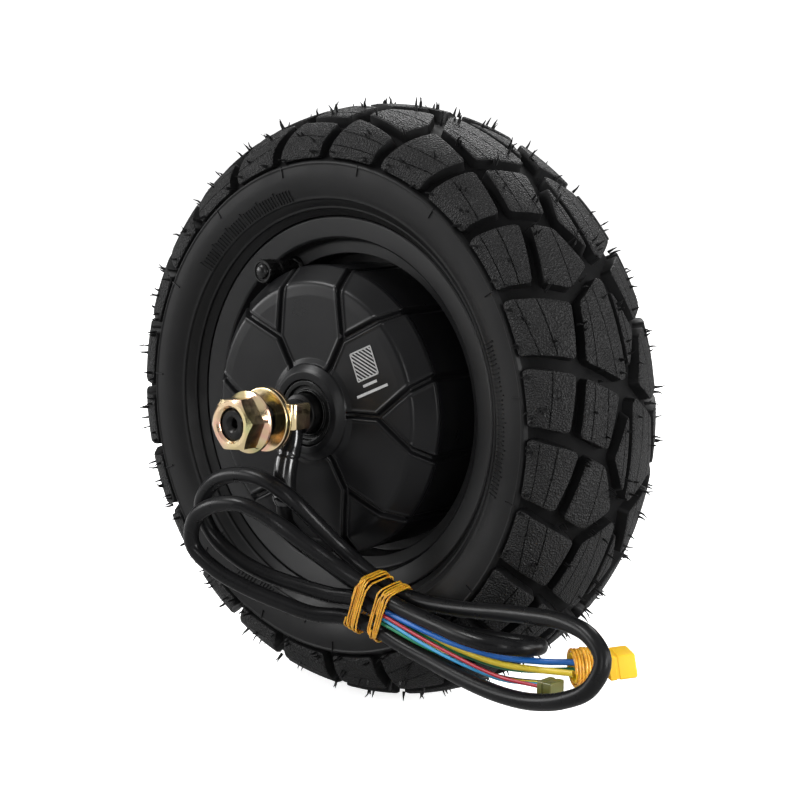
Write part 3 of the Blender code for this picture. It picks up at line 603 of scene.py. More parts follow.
def smooth_route(route, step):
    """Evenly spaced points on a smooth curve through the route's own points."""
    pts = [Vector(p) for p in route]
    pts = [2 * pts[0] - pts[1]] + pts + [2 * pts[-1] - pts[-2]]
    fine = []
    parts_per_span = 12
    for i in range(1, len(pts) - 2):
        before, start, end, after = pts[i - 1:i + 3]
        for k in range(parts_per_span):
            t = k / parts_per_span
            fine.append(0.5 * (2 * start + (end - before) * t
                               + (2 * before - 5 * start + 4 * end - after) * t ** 2
                               + (3 * start - before - 3 * end + after) * t ** 3))
    fine.append(pts[-2])
    lengths = [0.0]
    for a, b in zip(fine, fine[1:]):
        lengths.append(lengths[-1] + (b - a).length)
    count = max(2, round(lengths[-1] / step))
    result, i = [], 0
    for k in range(count + 1):
        wanted = lengths[-1] * k / count
        while i < len(fine) - 2 and lengths[i + 1] < wanted:
            i += 1
        share = (wanted - lengths[i]) / (lengths[i + 1] - lengths[i])
        result.append(fine[i].lerp(fine[i + 1], min(1.0, share)))
    return result


def tube(name, points, radius, look, body, replaces, resolution, radii=None):
    """A round tube along points in mm."""
    curve = bpy.data.curves.new(name, 'CURVE')
    curve.dimensions = '3D'
    curve.bevel_depth = radius * MM
    curve.bevel_resolution = resolution
    curve.use_fill_caps = True
    curve.twist_mode = 'MINIMUM'
    spline = curve.splines.new('POLY')
    spline.points.add(len(points) - 1)
    for i, (point, place) in enumerate(zip(spline.points, points)):
        point.co = (*(Vector(place) * MM), 1.0)
        point.radius = radii[i] / radius if radii else 1.0
    spline.use_smooth = True
    curve.materials.append(LOOKS[look])
    return show(bpy.data.objects.new(name, curve), body, replaces)


# Cable, wires and ties

def tie_point(outward, up, along):
    """A point given across and along the tied strands, in mm."""
    return TIE_CENTRE + TIE_OUT * outward + TIE_UP * up + TIE_ALONG * along


def add_cable():
    """The main cable, its wires and plugs."""
    route = smooth_route(CABLE_ROUTE, 2.0)
    route[0] = Vector(CABLE_ROUTE[0]) + Vector((0.0, 0.0, 1.0))
    cable = tube("motor_cable", route, CABLE_DIAMETER / 2, "cable", AXLE, ["main_cable"], 6)
    bands = add_tie(route)
    plugs = add_phase_plug()
    sensor_plug = add_sensor_plug()
    for prefix, wires, diameter, pieces in (
            ("phase", PHASE_WIRES, PHASE_WIRE, plugs),
            ("sensor", SENSOR_WIRES, SENSOR_WIRE, [sensor_plug])):
        for colour, ((outward, up), way, end) in wires.items():
            start = tie_point(WIRES_LEAVE[0] + outward, up + WIRES_LEAVE[1], WIRES_LEAVE[2])
            corners = [tuple(start)] + way + [end]
            if prefix == "phase":
                ahead = (Vector(end) - Vector(way[-1])).normalized()
                corners.append(tuple(Vector(end) + ahead * WIRE_IN_SLEEVE))
            points = smooth_route(corners, 1.5)
            look = "sensor_blue" if (prefix, colour) == ("sensor", "blue") else colour
            wire = tube(f"{prefix}_lead_{colour}", points, diameter / 2, look, AXLE,
                        [f"{prefix}_wire_{colour}"], 4)


def strand_hull(route, along, radius):
    """Outline of a band stretched round the strands where they cross a plane of the tie."""
    centres = []
    for a, b in zip(route, route[1:]):
        da, db = (a - TIE_CENTRE).dot(TIE_ALONG) - along, (b - TIE_CENTRE).dot(TIE_ALONG) - along
        if da * db <= 0 and da != db:
            spot = a.lerp(b, da / (da - db)) - TIE_CENTRE
            out, up = spot.dot(TIE_OUT), spot.dot(TIE_UP)
            if abs(out) < TIE_REACH[0] and abs(up) < TIE_REACH[1]:
                centres.append((out, up))
    steps = 48
    spokes = [(math.cos(TAU * k / steps), math.sin(TAU * k / steps)) for k in range(steps)]
    reaches = [max(x * ahead[0] + y * ahead[1] for x, y in centres) + radius
               for ahead in spokes]
    points = []
    for k, ((cosine, sine), reach) in enumerate(zip(spokes, reaches)):
        slope = (reaches[(k + 1) % steps] - reaches[k - 1]) / (2 * TAU / steps)
        points.append((reach * cosine - slope * sine, reach * sine + slope * cosine))
    return points


def add_tie(route):
    """Amber rubber bands wound round the strands in two groups of loose, crossing turns."""
    dice = random.Random(3)
    pieces = []
    for number, low, high, turns in TIE_BANDS:
        rows = [low + (high - low) * k / (turns - 1) for k in range(turns)]
        dice.shuffle(rows)
        rows.append(rows[0] + 0.3)
        points = []
        for turn in range(turns):
            reach = CABLE_DIAMETER / 2 + 0.4 + TIE_GROWTH * turn
            hull = strand_hull(route, (low + high) / 2, reach)
            lean = dice.uniform(-TIE_LEAN, TIE_LEAN)
            for k, (out, up) in enumerate(hull):
                share = k / len(hull)
                ease = eased(share)
                along = rows[turn] * (1 - ease) + rows[turn + 1] * ease
                along += lean * math.sin(TAU * share)
                along = max(low - TIE_STRAY, min(high + TIE_STRAY, along))
                points.append(tie_point(out, up, along))
        pieces.append(tube(f"tie_band_{number}", points, TIE_STRAND, "amber", AXLE,
                           [f"rubber_band_{number}"], 3))
    return pieces


def plug_point(outward, up, along):
    """A point across and along the phase plug, in mm."""
    return PLUG_MOUTH + PLUG_OUT * outward + PLUG_UP * up + PLUG_ALONG * along


def plug_ellipse(centre, half_x, half_y, along, steps):
    """An ellipse of points across the phase plug, in metres."""
    x, y = centre
    return [plug_point(x + half_x * math.cos(TAU * k / steps),
                       y + half_y * math.sin(TAU * k / steps), along) * MM for k in range(steps)]


def section_loft(name, sections, place):
    """A loft of closed outlines; each section is (outline of (x, y), distance along)."""
    rings = [[place(x, y, along) * MM for x, y in outline] for outline, along in sections]
    return loft(name, rings)


def round_box_outline(half_x, half_y, radius, steps=5, cut_top=0.0):
    """A rectangle with round corners; cut_top narrows its upper side."""
    outline = []
    for sign_x, sign_y, start in ((1, 1, 0), (-1, 1, 90), (-1, -1, 180), (1, -1, 270)):
        inset = cut_top if sign_y > 0 else 0.0
        for k in range(steps + 1):
            angle = math.radians(start + 90 * k / steps)
            outline.append((sign_x * (half_x - radius - inset) + radius * math.cos(angle),
                            sign_y * (half_y - radius) + radius * math.sin(angle)))
    return outline


def add_phase_plug():
    """Three-pole plug: body with a collar and ribs, sockets, tail and its wrap."""
    sections = []
    for along, half_x, half_y, corner, cut in (
            (PLUG_START, 7.0, 3.5, 0.9, 1.6), (PLUG_START + 0.5, 7.7, 4.1, 0.9, 2.0),
            (PLUG_START + 2.6, 7.7, 4.1, 0.9, 2.0), (PLUG_START + 2.8, 7.4, 3.85, 0.9, 1.9),
            (PLUG_START + 3.6, 7.4, 3.85, 0.9, 1.9), (PLUG_START + 3.8, 7.7, 4.1, 0.9, 2.0),
            (PLUG_END - 0.5, 7.7, 4.1, 0.9, 2.0), (PLUG_END, 7.3, 3.7, 0.9, 1.9),
            (PLUG_END, 6.6, 3.1, 0.6, 1.7), (PLUG_END - 1.4, 6.6, 3.1, 0.6, 1.7)):
        sections.append((round_box_outline(half_x, half_y, corner, 5, cut), along))
    mesh = section_loft("plug_body", sections, plug_point)
    pieces = [new_piece(mesh, ["yellow_plug"], AXLE, ["phase_plug"])]
    socket = ((1.7, 1.6), (1.7, 0.5), (1.5, 0.3), (1.25, 0.3), (1.1, 0.8), (1.1, 3.0))
    for i, centre in enumerate(PLUG_POLES):
        rings = [plug_ellipse(centre, radius, radius, PLUG_END - back, 20)
                 for radius, back in socket]
        pieces.append(new_piece(loft(f"plug_pole_{i + 1}", rings), ["zinc"], AXLE))
    tail = ((5.4, 0.8), (5.75, 1.1), (5.75, 11.6), (4.6, 11.6), (4.6, 1.6), (5.1, 0.8))
    rings = [plug_ellipse((0.0, 0.0), radius * 1.06, radius * 0.93, along, 40)
             for radius, along in tail]
    mesh = loft("plug_tail", rings, closed=True)
    pieces.append(new_piece(mesh, ["yellow_plug"], AXLE, ["plug_tail_sleeve"]))
    return pieces + [add_plug_wrap()]


def add_plug_wrap():
    """The rubber band wound on the plug's tail, each turn a little out of line."""
    dice = random.Random(5)
    steps = 32
    points = []
    wobble = [dice.uniform(-0.15, 0.15) for _ in range(WRAP_TURNS + 2)]
    for k in range(WRAP_TURNS * steps + 1):
        turn, share = divmod(k / steps, 1.0)
        lean = wobble[int(turn)] * (1 - share) + wobble[int(turn) + 1] * share
        angle = TAU * share
        along = WRAP_START + WRAP_LENGTH * k / (WRAP_TURNS * steps) + lean
        along += 0.3 * math.sin(angle)
        reach = WRAP_RADIUS + 0.4 * abs(lean) + 0.22 * math.sin(2.1 * turn + 1.0)
        points.append(plug_point(reach * 1.05 * math.cos(angle), reach * 0.95 * math.sin(angle),
                                 along))
    return tube("plug_band", points, WRAP_STRAND, "amber", AXLE, ["plug_rubber_band"], 3)


def add_sensor_plug():
    """Small connector housing with a latch rib."""
    low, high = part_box("sensor_plug")
    centre = (Vector(low) + Vector(high)) / 2 / MM
    half = (Vector(high) - Vector(low)) / 2 / MM

    def place(x, y, along):
        return centre + Vector((along, x, y))

    sections = []
    for along, scale in ((-1.0, 0.9), (-0.9, 1.0), (-0.3, 1.0), (-0.25, 0.92), (0.1, 0.92),
                         (0.15, 1.0), (0.92, 1.0), (1.0, 0.93)):
        outline = round_box_outline(half.y * scale, half.z * scale, 0.6)
        sections.append((outline, along * half.x))
    mesh = section_loft("sensor_connector", sections, place)
    return new_piece(mesh, ["olive_plug"], AXLE, ["sensor_plug"])


def add_strain_relief():
    """Glossy sleeve that leaves the axle and turns down, with its collar rings."""
    route = smooth_route([(0, -53.2, -3.0), (0, -53.3, -7.5), (0, -54.2, -11.5),
                          (0, -56.0, -15.5), (0, -57.3, -20.5), (0, -57.7, -26.0),
                          (0, -57.7, -33.4)], 0.5)
    neck, widest, mouth_start = 3.2, 4.4, 0.94
    radii = []
    for i in range(len(route)):
        share = i / (len(route) - 1)
        radius = neck + 1.2 * min(1.0, share / 0.38)
        if share > mouth_start:
            radius -= 0.9 * (share - mouth_start) / 0.06
        if 0.40 < share < 0.43 or 0.86 < share < 0.88:
            radius -= 0.3
        radii.append(radius)
    tube("strain_relief_sleeve", route, widest, "sleeve", AXLE, ["cable_strain_relief"], 7,
         radii)


# Tyre

def section_table():
    """The tyre's outer surface as (radius, height) against arc position, outwards from the
    crown; up to CROWN_END the position is the height itself."""
    table = []
    steps = 60
    for k in range(steps + 1):
        height = CROWN_END * k / steps
        drop = CROWN_DROP * (1 - math.sqrt(1 - (height / CROWN_HALF) ** 2))
        table.append((height, Vector((TYRE_RADIUS - drop, height))))
    shoulder = [(98.2, 34.75), (95.0, 35.45), (91.5, 35.75), (87.5, 35.6), (83.2, 34.6),
                (79.4, 32.6), (76.6, 30.0), (75.0, 28.3), (73.8, 27.2)]
    route = [(*table[-1][1], 0.0)] + [(radius, height, 0.0) for radius, height in shoulder]
    points = [Vector(p[:2]) for p in smooth_route(route, 0.5)]
    position = CROWN_END
    for a, b in zip(points, points[1:]):
        position += (b - a).length
        table.append((position, b))
    return table


SECTION = section_table()
SECTION_END = SECTION[-1][0]


def section_point(position):
    """(radius, height) and outward normal of the tyre's section at an arc position."""
    side = -1.0 if position < 0 else 1.0
    position = abs(position)
    low, high = 0, len(SECTION) - 1
    while high - low > 1:
        middle = (low + high) // 2
        if SECTION[middle][0] <= position:
            low = middle
        else:
            high = middle
    (start, a), (end, b) = SECTION[low], SECTION[high]
    point = a.lerp(b, (position - start) / (end - start))
    lower, upper = SECTION[max(0, low - 1)][1], SECTION[min(len(SECTION) - 1, high + 1)][1]
    tangent = (upper - lower).normalized()
    normal = Vector((tangent.y, -tangent.x))
    if low == 0:
        normal = Vector((1.0, 0.0)).lerp(normal, min(1.0, position)).normalized()
    return Vector((point.x, side * point.y)), Vector((normal.x, side * normal.y))


def groove_depth(position):
    """Depth of the tread grooves, shallower from FOOT_START to the shoulder's foot."""
    return TREAD_DEPTH - 1.2 * clamp((abs(position) - FOOT_START) / (TREAD_END - FOOT_START))


def tread_point(position, along, lift):
    """A point in metres: arc position across, distance along the tread, lift off the surface."""
    point, normal = section_point(position)
    place = point + normal * lift
    degrees = TREAD_START - math.degrees(along / TREAD_REFERENCE_RADIUS)
    return polar(place.x, place.y, degrees)


def degrees_along(degrees):
    """Distance along the tread for an angle round the wheel."""
    return math.radians(degrees) * TREAD_REFERENCE_RADIUS


def tread_repeats():
    """Side and angle of each repeat of the tread; the far side's are half a repeat on."""
    for side, shift in ((1, 0.0), (-1, REPEAT_DEGREES / 2)):
        for repeat in range(REPEATS):
            yield side, shift + REPEAT_DEGREES * repeat


def add_carcass():
    """The casing: groove floor, smooth sidewalls with their moulded rings, beads, inside."""
    near = []
    position = 0.0
    while position < SECTION_END:
        lift = -groove_depth(position)
        step = 1.5
        if position > TREAD_END - 0.6:
            rise = min(1.0, (position - TREAD_END + 0.6) / 1.5)
            lift = lift * (1 - rise) - 0.25 * rise
            step = 0.35 if position < TREAD_END + 2.0 else 0.8
        for middle, width, height in ((TREAD_END + 1.6, 0.5, 0.35),
                                      (SECTION_END - 8.2, 0.7, 0.35),
                                      (SECTION_END - 3.2, 0.6, 0.5)):
            if abs(position - middle) < width * 2:
                step = 0.25
                lift += height * max(0.0, 1 - ((position - middle) / width) ** 2)
        point, normal = section_point(position)
        near.append(tuple(point + normal * lift))
        position += step
    near += [(73.3, 26.4), (73.2, 24.2), (73.0, 23.2), (70.4, 22.0), (70.4, 14.5), (73.0, 14.2),
             (78.5, 25.6), (88.0, 29.6), (98.0, 27.5), (106.0, 17.0), (108.2, 6.0)]
    mesh = loft("tyre_carcass", ring_stack(near + mirrored(near[1:]), 288), closed=True)
    new_piece(mesh, ["rubber", "groove"], WHEEL, ["tyre"], 40)
    # The tread's groove floor takes the darker groove finish, which holds painted shade in the
    # recess as well as dust
    tread_foot = section_point(TREAD_END)[0].x * MM
    for polygon in mesh.polygons:
        if math.hypot(polygon.center.x, polygon.center.z) > tread_foot:
            polygon.material_index = 1


def tread_blocks():
    """Sipes and corners of the seven blocks of one repeat on one side. A sipe is (place
    across, slope). A corner is (position, degrees), followed by the half width of the groove
    along the next edge."""
    apex, apex_next = (11.0, 0.0), (11.0, 45.0)
    join_a, join_b = (3.4, 10.3), (3.4, 32.8)
    bend_0, bend_1, bend_2, bend_3 = (25.7, -3.6), (17.1, 14.7), (21.4, 27.8), (25.7, 41.4)
    foot_0, foot_1, foot_2, foot_3 = ((TREAD_END, turn) for turn in (-5.4, 10.0, 24.8, 39.6))
    rim_0, rim_1, rim_2, rim_3 = ((35.3, turn) for turn in (-5.3, 10.2, 25.0, 39.7))
    ring_start, ring_end = (21.4, -2.6), (28.0, 12.0)
    edge = 0.0
    return [
        ([(31.0, 0.08), (35.6, 0.05)],
         [(ring_start, CIRCLING), (ring_end, TRANSVERSE), (rim_1, TRANSVERSE), (foot_1, edge),
          (foot_0, TRANSVERSE), (rim_0, TRANSVERSE), (bend_0, TRANSVERSE)]),
        ([(29.0, -0.06), (33.6, -0.1)],
         [(bend_1, CIRCLING), (bend_2, TRANSVERSE), (rim_2, TRANSVERSE), (foot_2, edge),
          (foot_1, TRANSVERSE), (rim_1, TRANSVERSE)]),
        ([(31.5, 0.1)],
         [(bend_2, CIRCLING), (bend_3, TRANSVERSE), (rim_3, TRANSVERSE), (foot_3, edge),
          (foot_2, TRANSVERSE), (rim_2, TRANSVERSE)]),
        ([(15.0, 0.12)],
         [(apex, ZIGZAG), (join_a, TRANSVERSE), (bend_1, TRANSVERSE), (ring_end, CIRCLING),
          (ring_start, TRANSVERSE)]),
        ([(7.5, -0.05), (14.0, 0.1)],
         [(join_a, ZIGZAG), ((0.0, 11.8), CENTRE), ((0.0, 31.3), ZIGZAG), (join_b, TRANSVERSE),
          (bend_2, CIRCLING), (bend_1, TRANSVERSE)]),
        ([(12.5, 0.1), (18.5, 0.14)],
         [(join_b, ZIGZAG), (apex_next, TRANSVERSE), (bend_3, CIRCLING), (bend_2, TRANSVERSE)]),
        ([(3.6, 0.0)], [((0.0, -12.2), CENTRE), ((0.0, 10.3), ZIGZAG), (apex, ZIGZAG)]),
    ]


def inset_polygon(corners, extra):
    """Moves each edge of a polygon inwards by its own distance plus an extra one."""
    points = [Vector((degrees_along(degrees), position)) for (position, degrees), _ in corners]
    area = sum(a.x * b.y - b.x * a.y for a, b in zip(points, points[1:] + points[:1]))
    turn = 1.0 if area > 0 else -1.0
    count = len(points)
    lines = []
    for i, (_, width) in enumerate(corners):
        a, b = points[i], points[(i + 1) % count]
        ahead = (b - a).normalized()
        lines.append((a + left_of(ahead) * turn * (width + extra), ahead))
    result = []
    for i in range(count):
        (p, d), (q, e) = lines[i - 1], lines[i]
        cross = d.x * e.y - d.y * e.x
        if abs(cross) < 0.02:
            result.append(q)
            continue
        share = ((q.x - p.x) * e.y - (q.y - p.y) * e.x) / cross
        result.append(p + d * share)
    return result


def tread_block_mesh(sipes, corners):
    """One block in flat coordinates: x along the tread, y across, z from 0 at the grooves'
    floor to 1 at the top."""
    shape = bmesh.new()
    upper = [shape.verts.new((p.x, p.y, 1.0)) for p in inset_polygon(corners, BLOCK_DRAFT)]
    lower = [shape.verts.new((p.x, p.y, BLOCK_FOOT)) for p in inset_polygon(corners, 0.0)]
    shape.faces.new(upper)
    count = len(upper)
    for i in range(count):
        k = (i + 1) % count
        shape.faces.new((upper[i], upper[k], lower[k], lower[i]))
    shape.faces.new(list(reversed(lower)))
    corners_up = [e for e in shape.edges if abs(e.verts[0].co.z - e.verts[1].co.z) > 0.5]
    bmesh.ops.bevel(shape, geom=corners_up, offset=1.5, segments=4, profile=0.5,
                    affect='EDGES')
    bmesh.ops.recalc_face_normals(shape, faces=shape.faces)
    top = max(shape.faces, key=lambda f: f.calc_center_median().z)
    inner = bmesh.ops.inset_region(shape, faces=[top], thickness=0.45, depth=0.0)
    for face in [top] + inner["faces"]:
        face.material_index = 1
    for vert in {v for v in shape.verts if v.co.z > 0.99} - set(top.verts):
        vert.co.z = BLOCK_EDGE
    xs = [v.co.x for v in shape.verts]
    ys = [v.co.y for v in shape.verts]
    middle = sum(xs) / len(xs)
    cuts = [((value, 0, 0), (1, 0, 0)) for value in spread_values(min(xs), max(xs), 3.2)]
    cuts += [((middle, value, 0), (0.0, 1, 0)) for value in spread_values(min(ys), max(ys), 2.4)]
    for sipe, slope in sipes:
        cuts += [((middle, sipe + offset, 0), (-slope, 1, 0))
                 for offset in (-SIPE_HALF, 0.0, SIPE_HALF)]
    for spot, normal in cuts:
        geometry = list(shape.verts) + list(shape.edges) + list(shape.faces)
        bmesh.ops.bisect_plane(shape, geom=geometry, dist=0.00001, plane_co=spot,
                               plane_no=normal)
    for vert in shape.verts:
        across = [vert.co.y - sipe - slope * (vert.co.x - middle) for sipe, slope in sipes]
        if vert.co.z > 0.97 and any(abs(gap) < SIPE_HALF / 4 for gap in across):
            vert.co.z = SIPE_FLOOR
    return shape


def spread_values(low, high, step):
    """Evenly spaced values strictly between two limits."""
    count = int((high - low) / step)
    return [low + (high - low) * (k + 1) / (count + 1) for k in range(count)]


def add_tread():
    """All tread blocks: seven on each side in every repeat."""
    verts, faces, looks = [], [], []
    for sipes, corners in tread_blocks():
        shape = tread_block_mesh(sipes, corners)
        shape.verts.index_update()
        flat = [v.co.copy() for v in shape.verts]
        polygons = [([v.index for v in f.verts], f.material_index) for f in shape.faces]
        shape.free()
        for side, turn in tread_repeats():
            start = len(verts)
            offset = degrees_along(turn)
            for co in flat:
                position = co.y * side
                lift = (co.z - 1.0) * groove_depth(position)
                verts.append(tread_point(position, co.x + offset, lift))
            for loop, look in polygons:
                faces.append([start + i for i in loop[::side]])
                looks.append(look)
    mesh = bpy.data.meshes.new("tyre_tread_blocks")
    mesh.from_pydata(verts, [], faces)
    new_piece(mesh, ["rubber", "tread"], WHEEL, sharp=38)
    for polygon, look in zip(mesh.polygons, looks):
        polygon.material_index = look


def add_hairs():
    """Vent hairs left by the mould, in small clusters at the blocks' corners and edges."""
    dice = random.Random(11)
    shape = bmesh.new()
    spots = [(20.0, 0.6), (25.0, 12.0), (18.2, 21.0), (31.0, 3.4), (33.6, 17.0), (29.0, 21.8),
             (30.2, 31.5), (34.0, 35.6), (8.4, 5.6), (12.5, 13.0), (5.0, 15.0), (4.4, 28.5),
             (14.4, 29.4), (12.4, 40.0), (19.0, 36.0), (38.4, 7.4), (38.4, 12.8), (38.8, 21.8),
             (38.4, 28.0), (38.8, 36.4), (38.4, 43.0), (1.6, 3.0), (2.0, 41.0)]
    for side, turn in tread_repeats():
        for position, degrees in spots:
            along = degrees_along(turn + degrees)
            for _ in range(dice.choice((1, 2, 2, 3))):
                spot = side * (position + dice.uniform(-1.1, 1.1))
                start = along + dice.uniform(-2.4, 2.4)
                length = dice.uniform(1.8, 3.9)
                lean = dice.uniform(-0.5, 0.5)
                foot = tread_point(spot, start, -0.8)
                knee = tread_point(spot + 0.3 * lean, start + 0.4 * lean, length * 0.5)
                tip = tread_point(spot + dice.uniform(-0.7, 0.7), start + 2.0 * lean, length)
                add_spike(shape, (foot, knee, tip), HAIR_RADII)
    new_piece(freed("tyre_vent_hairs", shape), ["rubber"], WHEEL, sharp=60)


def add_spike(shape, points, radii):
    """A thin bent spike with five sides."""
    rings = []
    for i, (point, radius) in enumerate(zip(points, radii)):
        ahead = points[min(i + 1, len(points) - 1)] - points[max(i - 1, 0)]
        side = ahead.orthogonal().normalized()
        other = ahead.cross(side).normalized()
        corners = []
        for k in range(5):
            angle = TAU * k / 5
            offset = (side * math.cos(angle) + other * math.sin(angle)) * radius * MM
            corners.append(shape.verts.new(point + offset))
        rings.append(corners)
    for a, b in zip(rings, rings[1:]):
        for k in range(5):
            shape.faces.new((a[k], a[(k + 1) % 5], b[(k + 1) % 5], b[k]))
    shape.faces.new(rings[-1])
    shape.faces.new(rings[0][::-1])


def add_sidewall_marks():
    """Plain raised ticks and bars moulded on both sidewalls; they carry no lettering."""
    shape = bmesh.new()
    marks = [(TREAD_END + 3.0, degrees, 0.3, 2.2) for degrees in range(8, 360, 24)]
    for start in (18, 138, 258):
        for k in range(36):
            marks.append((SECTION_END - 11.0, start + 1.1 * k, 0.3, 2.4 if k % 6 else 3.4))
    for side in (1, -1):
        for position, degrees, half_along, half_across in marks:
            along = degrees_along(degrees)
            corners = []
            for lift, shrink in ((-0.3, 0.0), (0.22, 0.12)):
                a, c = half_along - shrink * 0.5, half_across - shrink
                for da, dc in ((-a, -c), (a, -c), (a, c), (-a, c)):
                    corners.append(shape.verts.new(
                        tread_point(side * (position + dc), along + da, lift)))
            for loop in ((4, 5, 6, 7), (0, 1, 5, 4), (1, 2, 6, 5), (2, 3, 7, 6), (3, 0, 4, 7),
                         (3, 2, 1, 0)):
                shape.faces.new([corners[i] for i in loop])
    bmesh.ops.recalc_face_normals(shape, faces=shape.faces)
    new_piece(freed("tyre_sidewall_marks", shape), ["rubber"], WHEEL)


# Hub

def groove_lines():
    """Centre lines of the Y-shaped grooves across the petal face, in mm."""
    lines = []
    for i in range(GROOVE_COUNT):
        start = GROOVE_START + 360 / GROOVE_COUNT * i
        junction = heading(start) * JUNCTION_RADIUS
        lines.append((heading(start) * 15.0, junction))
        for turn in (-BRANCH_ANGLE, BRANCH_ANGLE):
            lines.append((junction, junction + heading(start + turn) * 30))
    return lines


def line_distance(point, line):
    """Distance from a point to a line's piece."""
    a, b = line
    along = b - a
    share = clamp((point - a).dot(along) / along.length_squared)
    return (point - a - along * share).length


def groove_profile(spot, lines):
    """Depth of the petal face at a spot, from its distance to the nearest groove; the lip
    beside a groove counts as less than nothing."""
    near = min(line_distance(spot, line) for line in lines)
    depth = GROOVE_DEPTH * eased(clamp((GROOVE_TOP - near) / (GROOVE_TOP - GROOVE_FLOOR)))
    return depth - LIP_HEIGHT * math.exp(-((near - LIP_PLACE) / LIP_WIDTH) ** 2)


def add_petal_face():
    """The petal face with its recessed grooves, boss and side wall."""
    corners = [
        (12.7, 40.5), (12.7, 46.8, 0.3), (15.4, 46.9, 0.5), (16.6, 46.1, 0.6),
        (18.2, 44.7, 0.8), (18.5, 43.9, 0.5), (20.4, 43.05, 1.2), (32.0, 42.9), (44.0, 42.65),
        (48.6, 42.3, 3.2), (54.7, 35.5, 1.0), (55.1, 34.2, 0.6), (54.5, 32.9, 0.8), (54.4, 6.2),
    ]
    dense = []
    outline = rounded(corners, closed=False, steps=5)
    for a, b in zip(outline, outline[1:]):
        pieces = 1
        if 18.0 < a[0] < 56.0 and a[1] > 33.0:
            pieces = max(1, round(math.dist(a, b) / PETAL_SPAN))
        for k in range(pieces):
            t = k / pieces
            dense.append((a[0] + (b[0] - a[0]) * t, a[1] + (b[1] - a[1]) * t))
    dense.append(outline[-1])
    lines = groove_lines()
    lines = lines[:6] + lines[15:]      # those that reach the first of the equal sectors
    rings = []
    for i, (radius, height) in enumerate(dense):
        normal = path_normal(dense, i)
        depths = [0.0] * (PETAL_STEPS // GROOVE_COUNT)
        if radius > 18.3 and height > 32.0:
            depths = [groove_profile(heading(GROOVE_START + 360 * j / PETAL_STEPS) * radius,
                                     lines) for j in range(len(depths))]
        points = []
        for j in range(PETAL_STEPS):
            depth = depths[j % len(depths)]
            points.append(polar(radius - normal.x * depth, height - normal.y * depth,
                                GROOVE_START + 360 * j / PETAL_STEPS))
        rings.append(points)
    back = ((52.0, 6.4), (52.0, 32.5), (46.0, 38.0), (22.0, 38.9), (22.0, 41.0))
    rings += ring_stack(back, PETAL_STEPS, GROOVE_START)
    mesh = loft("hub_petal_face", rings, closed=True)
    new_piece(mesh, ["paint"], WHEEL, ["hub_shell"], 50)


def add_rim():
    """Rim rings, wells and drum, with the step ring that holds the valve."""
    flange = [(64.5, 24.6, 0.4), (65.2, 25.2, 0.4), (72.2, 26.5, 0.4), (72.9, 25.9, 0.3),
              (72.8, 24.2, 0.5), (69.9, 22.6), (69.9, 12.5), (66.0, 9.0)]
    profile = ([(54.6, 5.9), (58.5, 5.9, 0.8), (58.5, 18.9, 0.4), (63.7, 19.0, 1.4)] + flange
               + mirrored(flange) + [(63.0, -20.0, 0.8), (51.4, -20.0), (51.4, 5.0)])
    new_piece(turned("hub_rim", profile, 240), ["rim"], WHEEL)
    grommet = turned("valve_grommet", [(3.4, 18.6), (5.3, 18.6), (5.3, 19.5, 0.4),
                                       (4.4, 20.6, 0.5), (3.4, 20.6)], 48)
    new_piece(moved(grommet, VALVE_PLACE), ["seal"], WHEEL)


def add_rear_cover():
    """Dished rear cover with a raised ring, its screws with hexagon sockets."""
    profile = [(12.7, -41.0), (12.7, -36.4), (17.8, -36.4), (17.8, -24.8), (22.0, -24.8),
               (22.0, -33.0), (40.0, -33.0), (46.6, -28.0), (47.6, -18.0), (50.9, -18.0),
               (50.9, -20.3), (61.2, -20.3), (61.4, -23.7, 0.5), (60.6, -24.2, 0.4),
               (53.6, -24.5, 2.0), (51.6, -26.4, 1.0), (49.8, -33.2, 2.8), (46.0, -36.8, 2.6),
               (38.0, -37.2), (37.0, -36.7, 0.6), (34.6, -36.7, 0.6), (33.6, -37.3, 0.6),
               (20.6, -37.6, 1.2), (18.6, -38.3, 0.6), (18.2, -39.6, 0.6), (16.6, -40.6, 0.6),
               (15.2, -41.1, 0.4)]
    new_piece(turned("rear_cover_skin", profile, 240), ["paint"], WHEEL, ["rear_cover"])
    socket = hexagon(1.45, 30)
    screw = ((3.4, -24.3), (3.6, -24.7), (3.6, -26.2), (3.1, -27.0), (2.2, -27.35),
             (1.75, -27.3), (socket, -27.1), (socket, -25.4))
    for number in range(1, 7):
        low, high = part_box(f"cover_screw_{number}")
        centre = (Vector(low) + Vector(high)) / 2
        mesh = loft(f"cover_bolt_{number}", ring_stack(screw, 48))
        moved(mesh, Vector((centre.x, 0.0, centre.z)))
        new_piece(mesh, ["black_steel"], WHEEL, [f"cover_screw_{number}"])


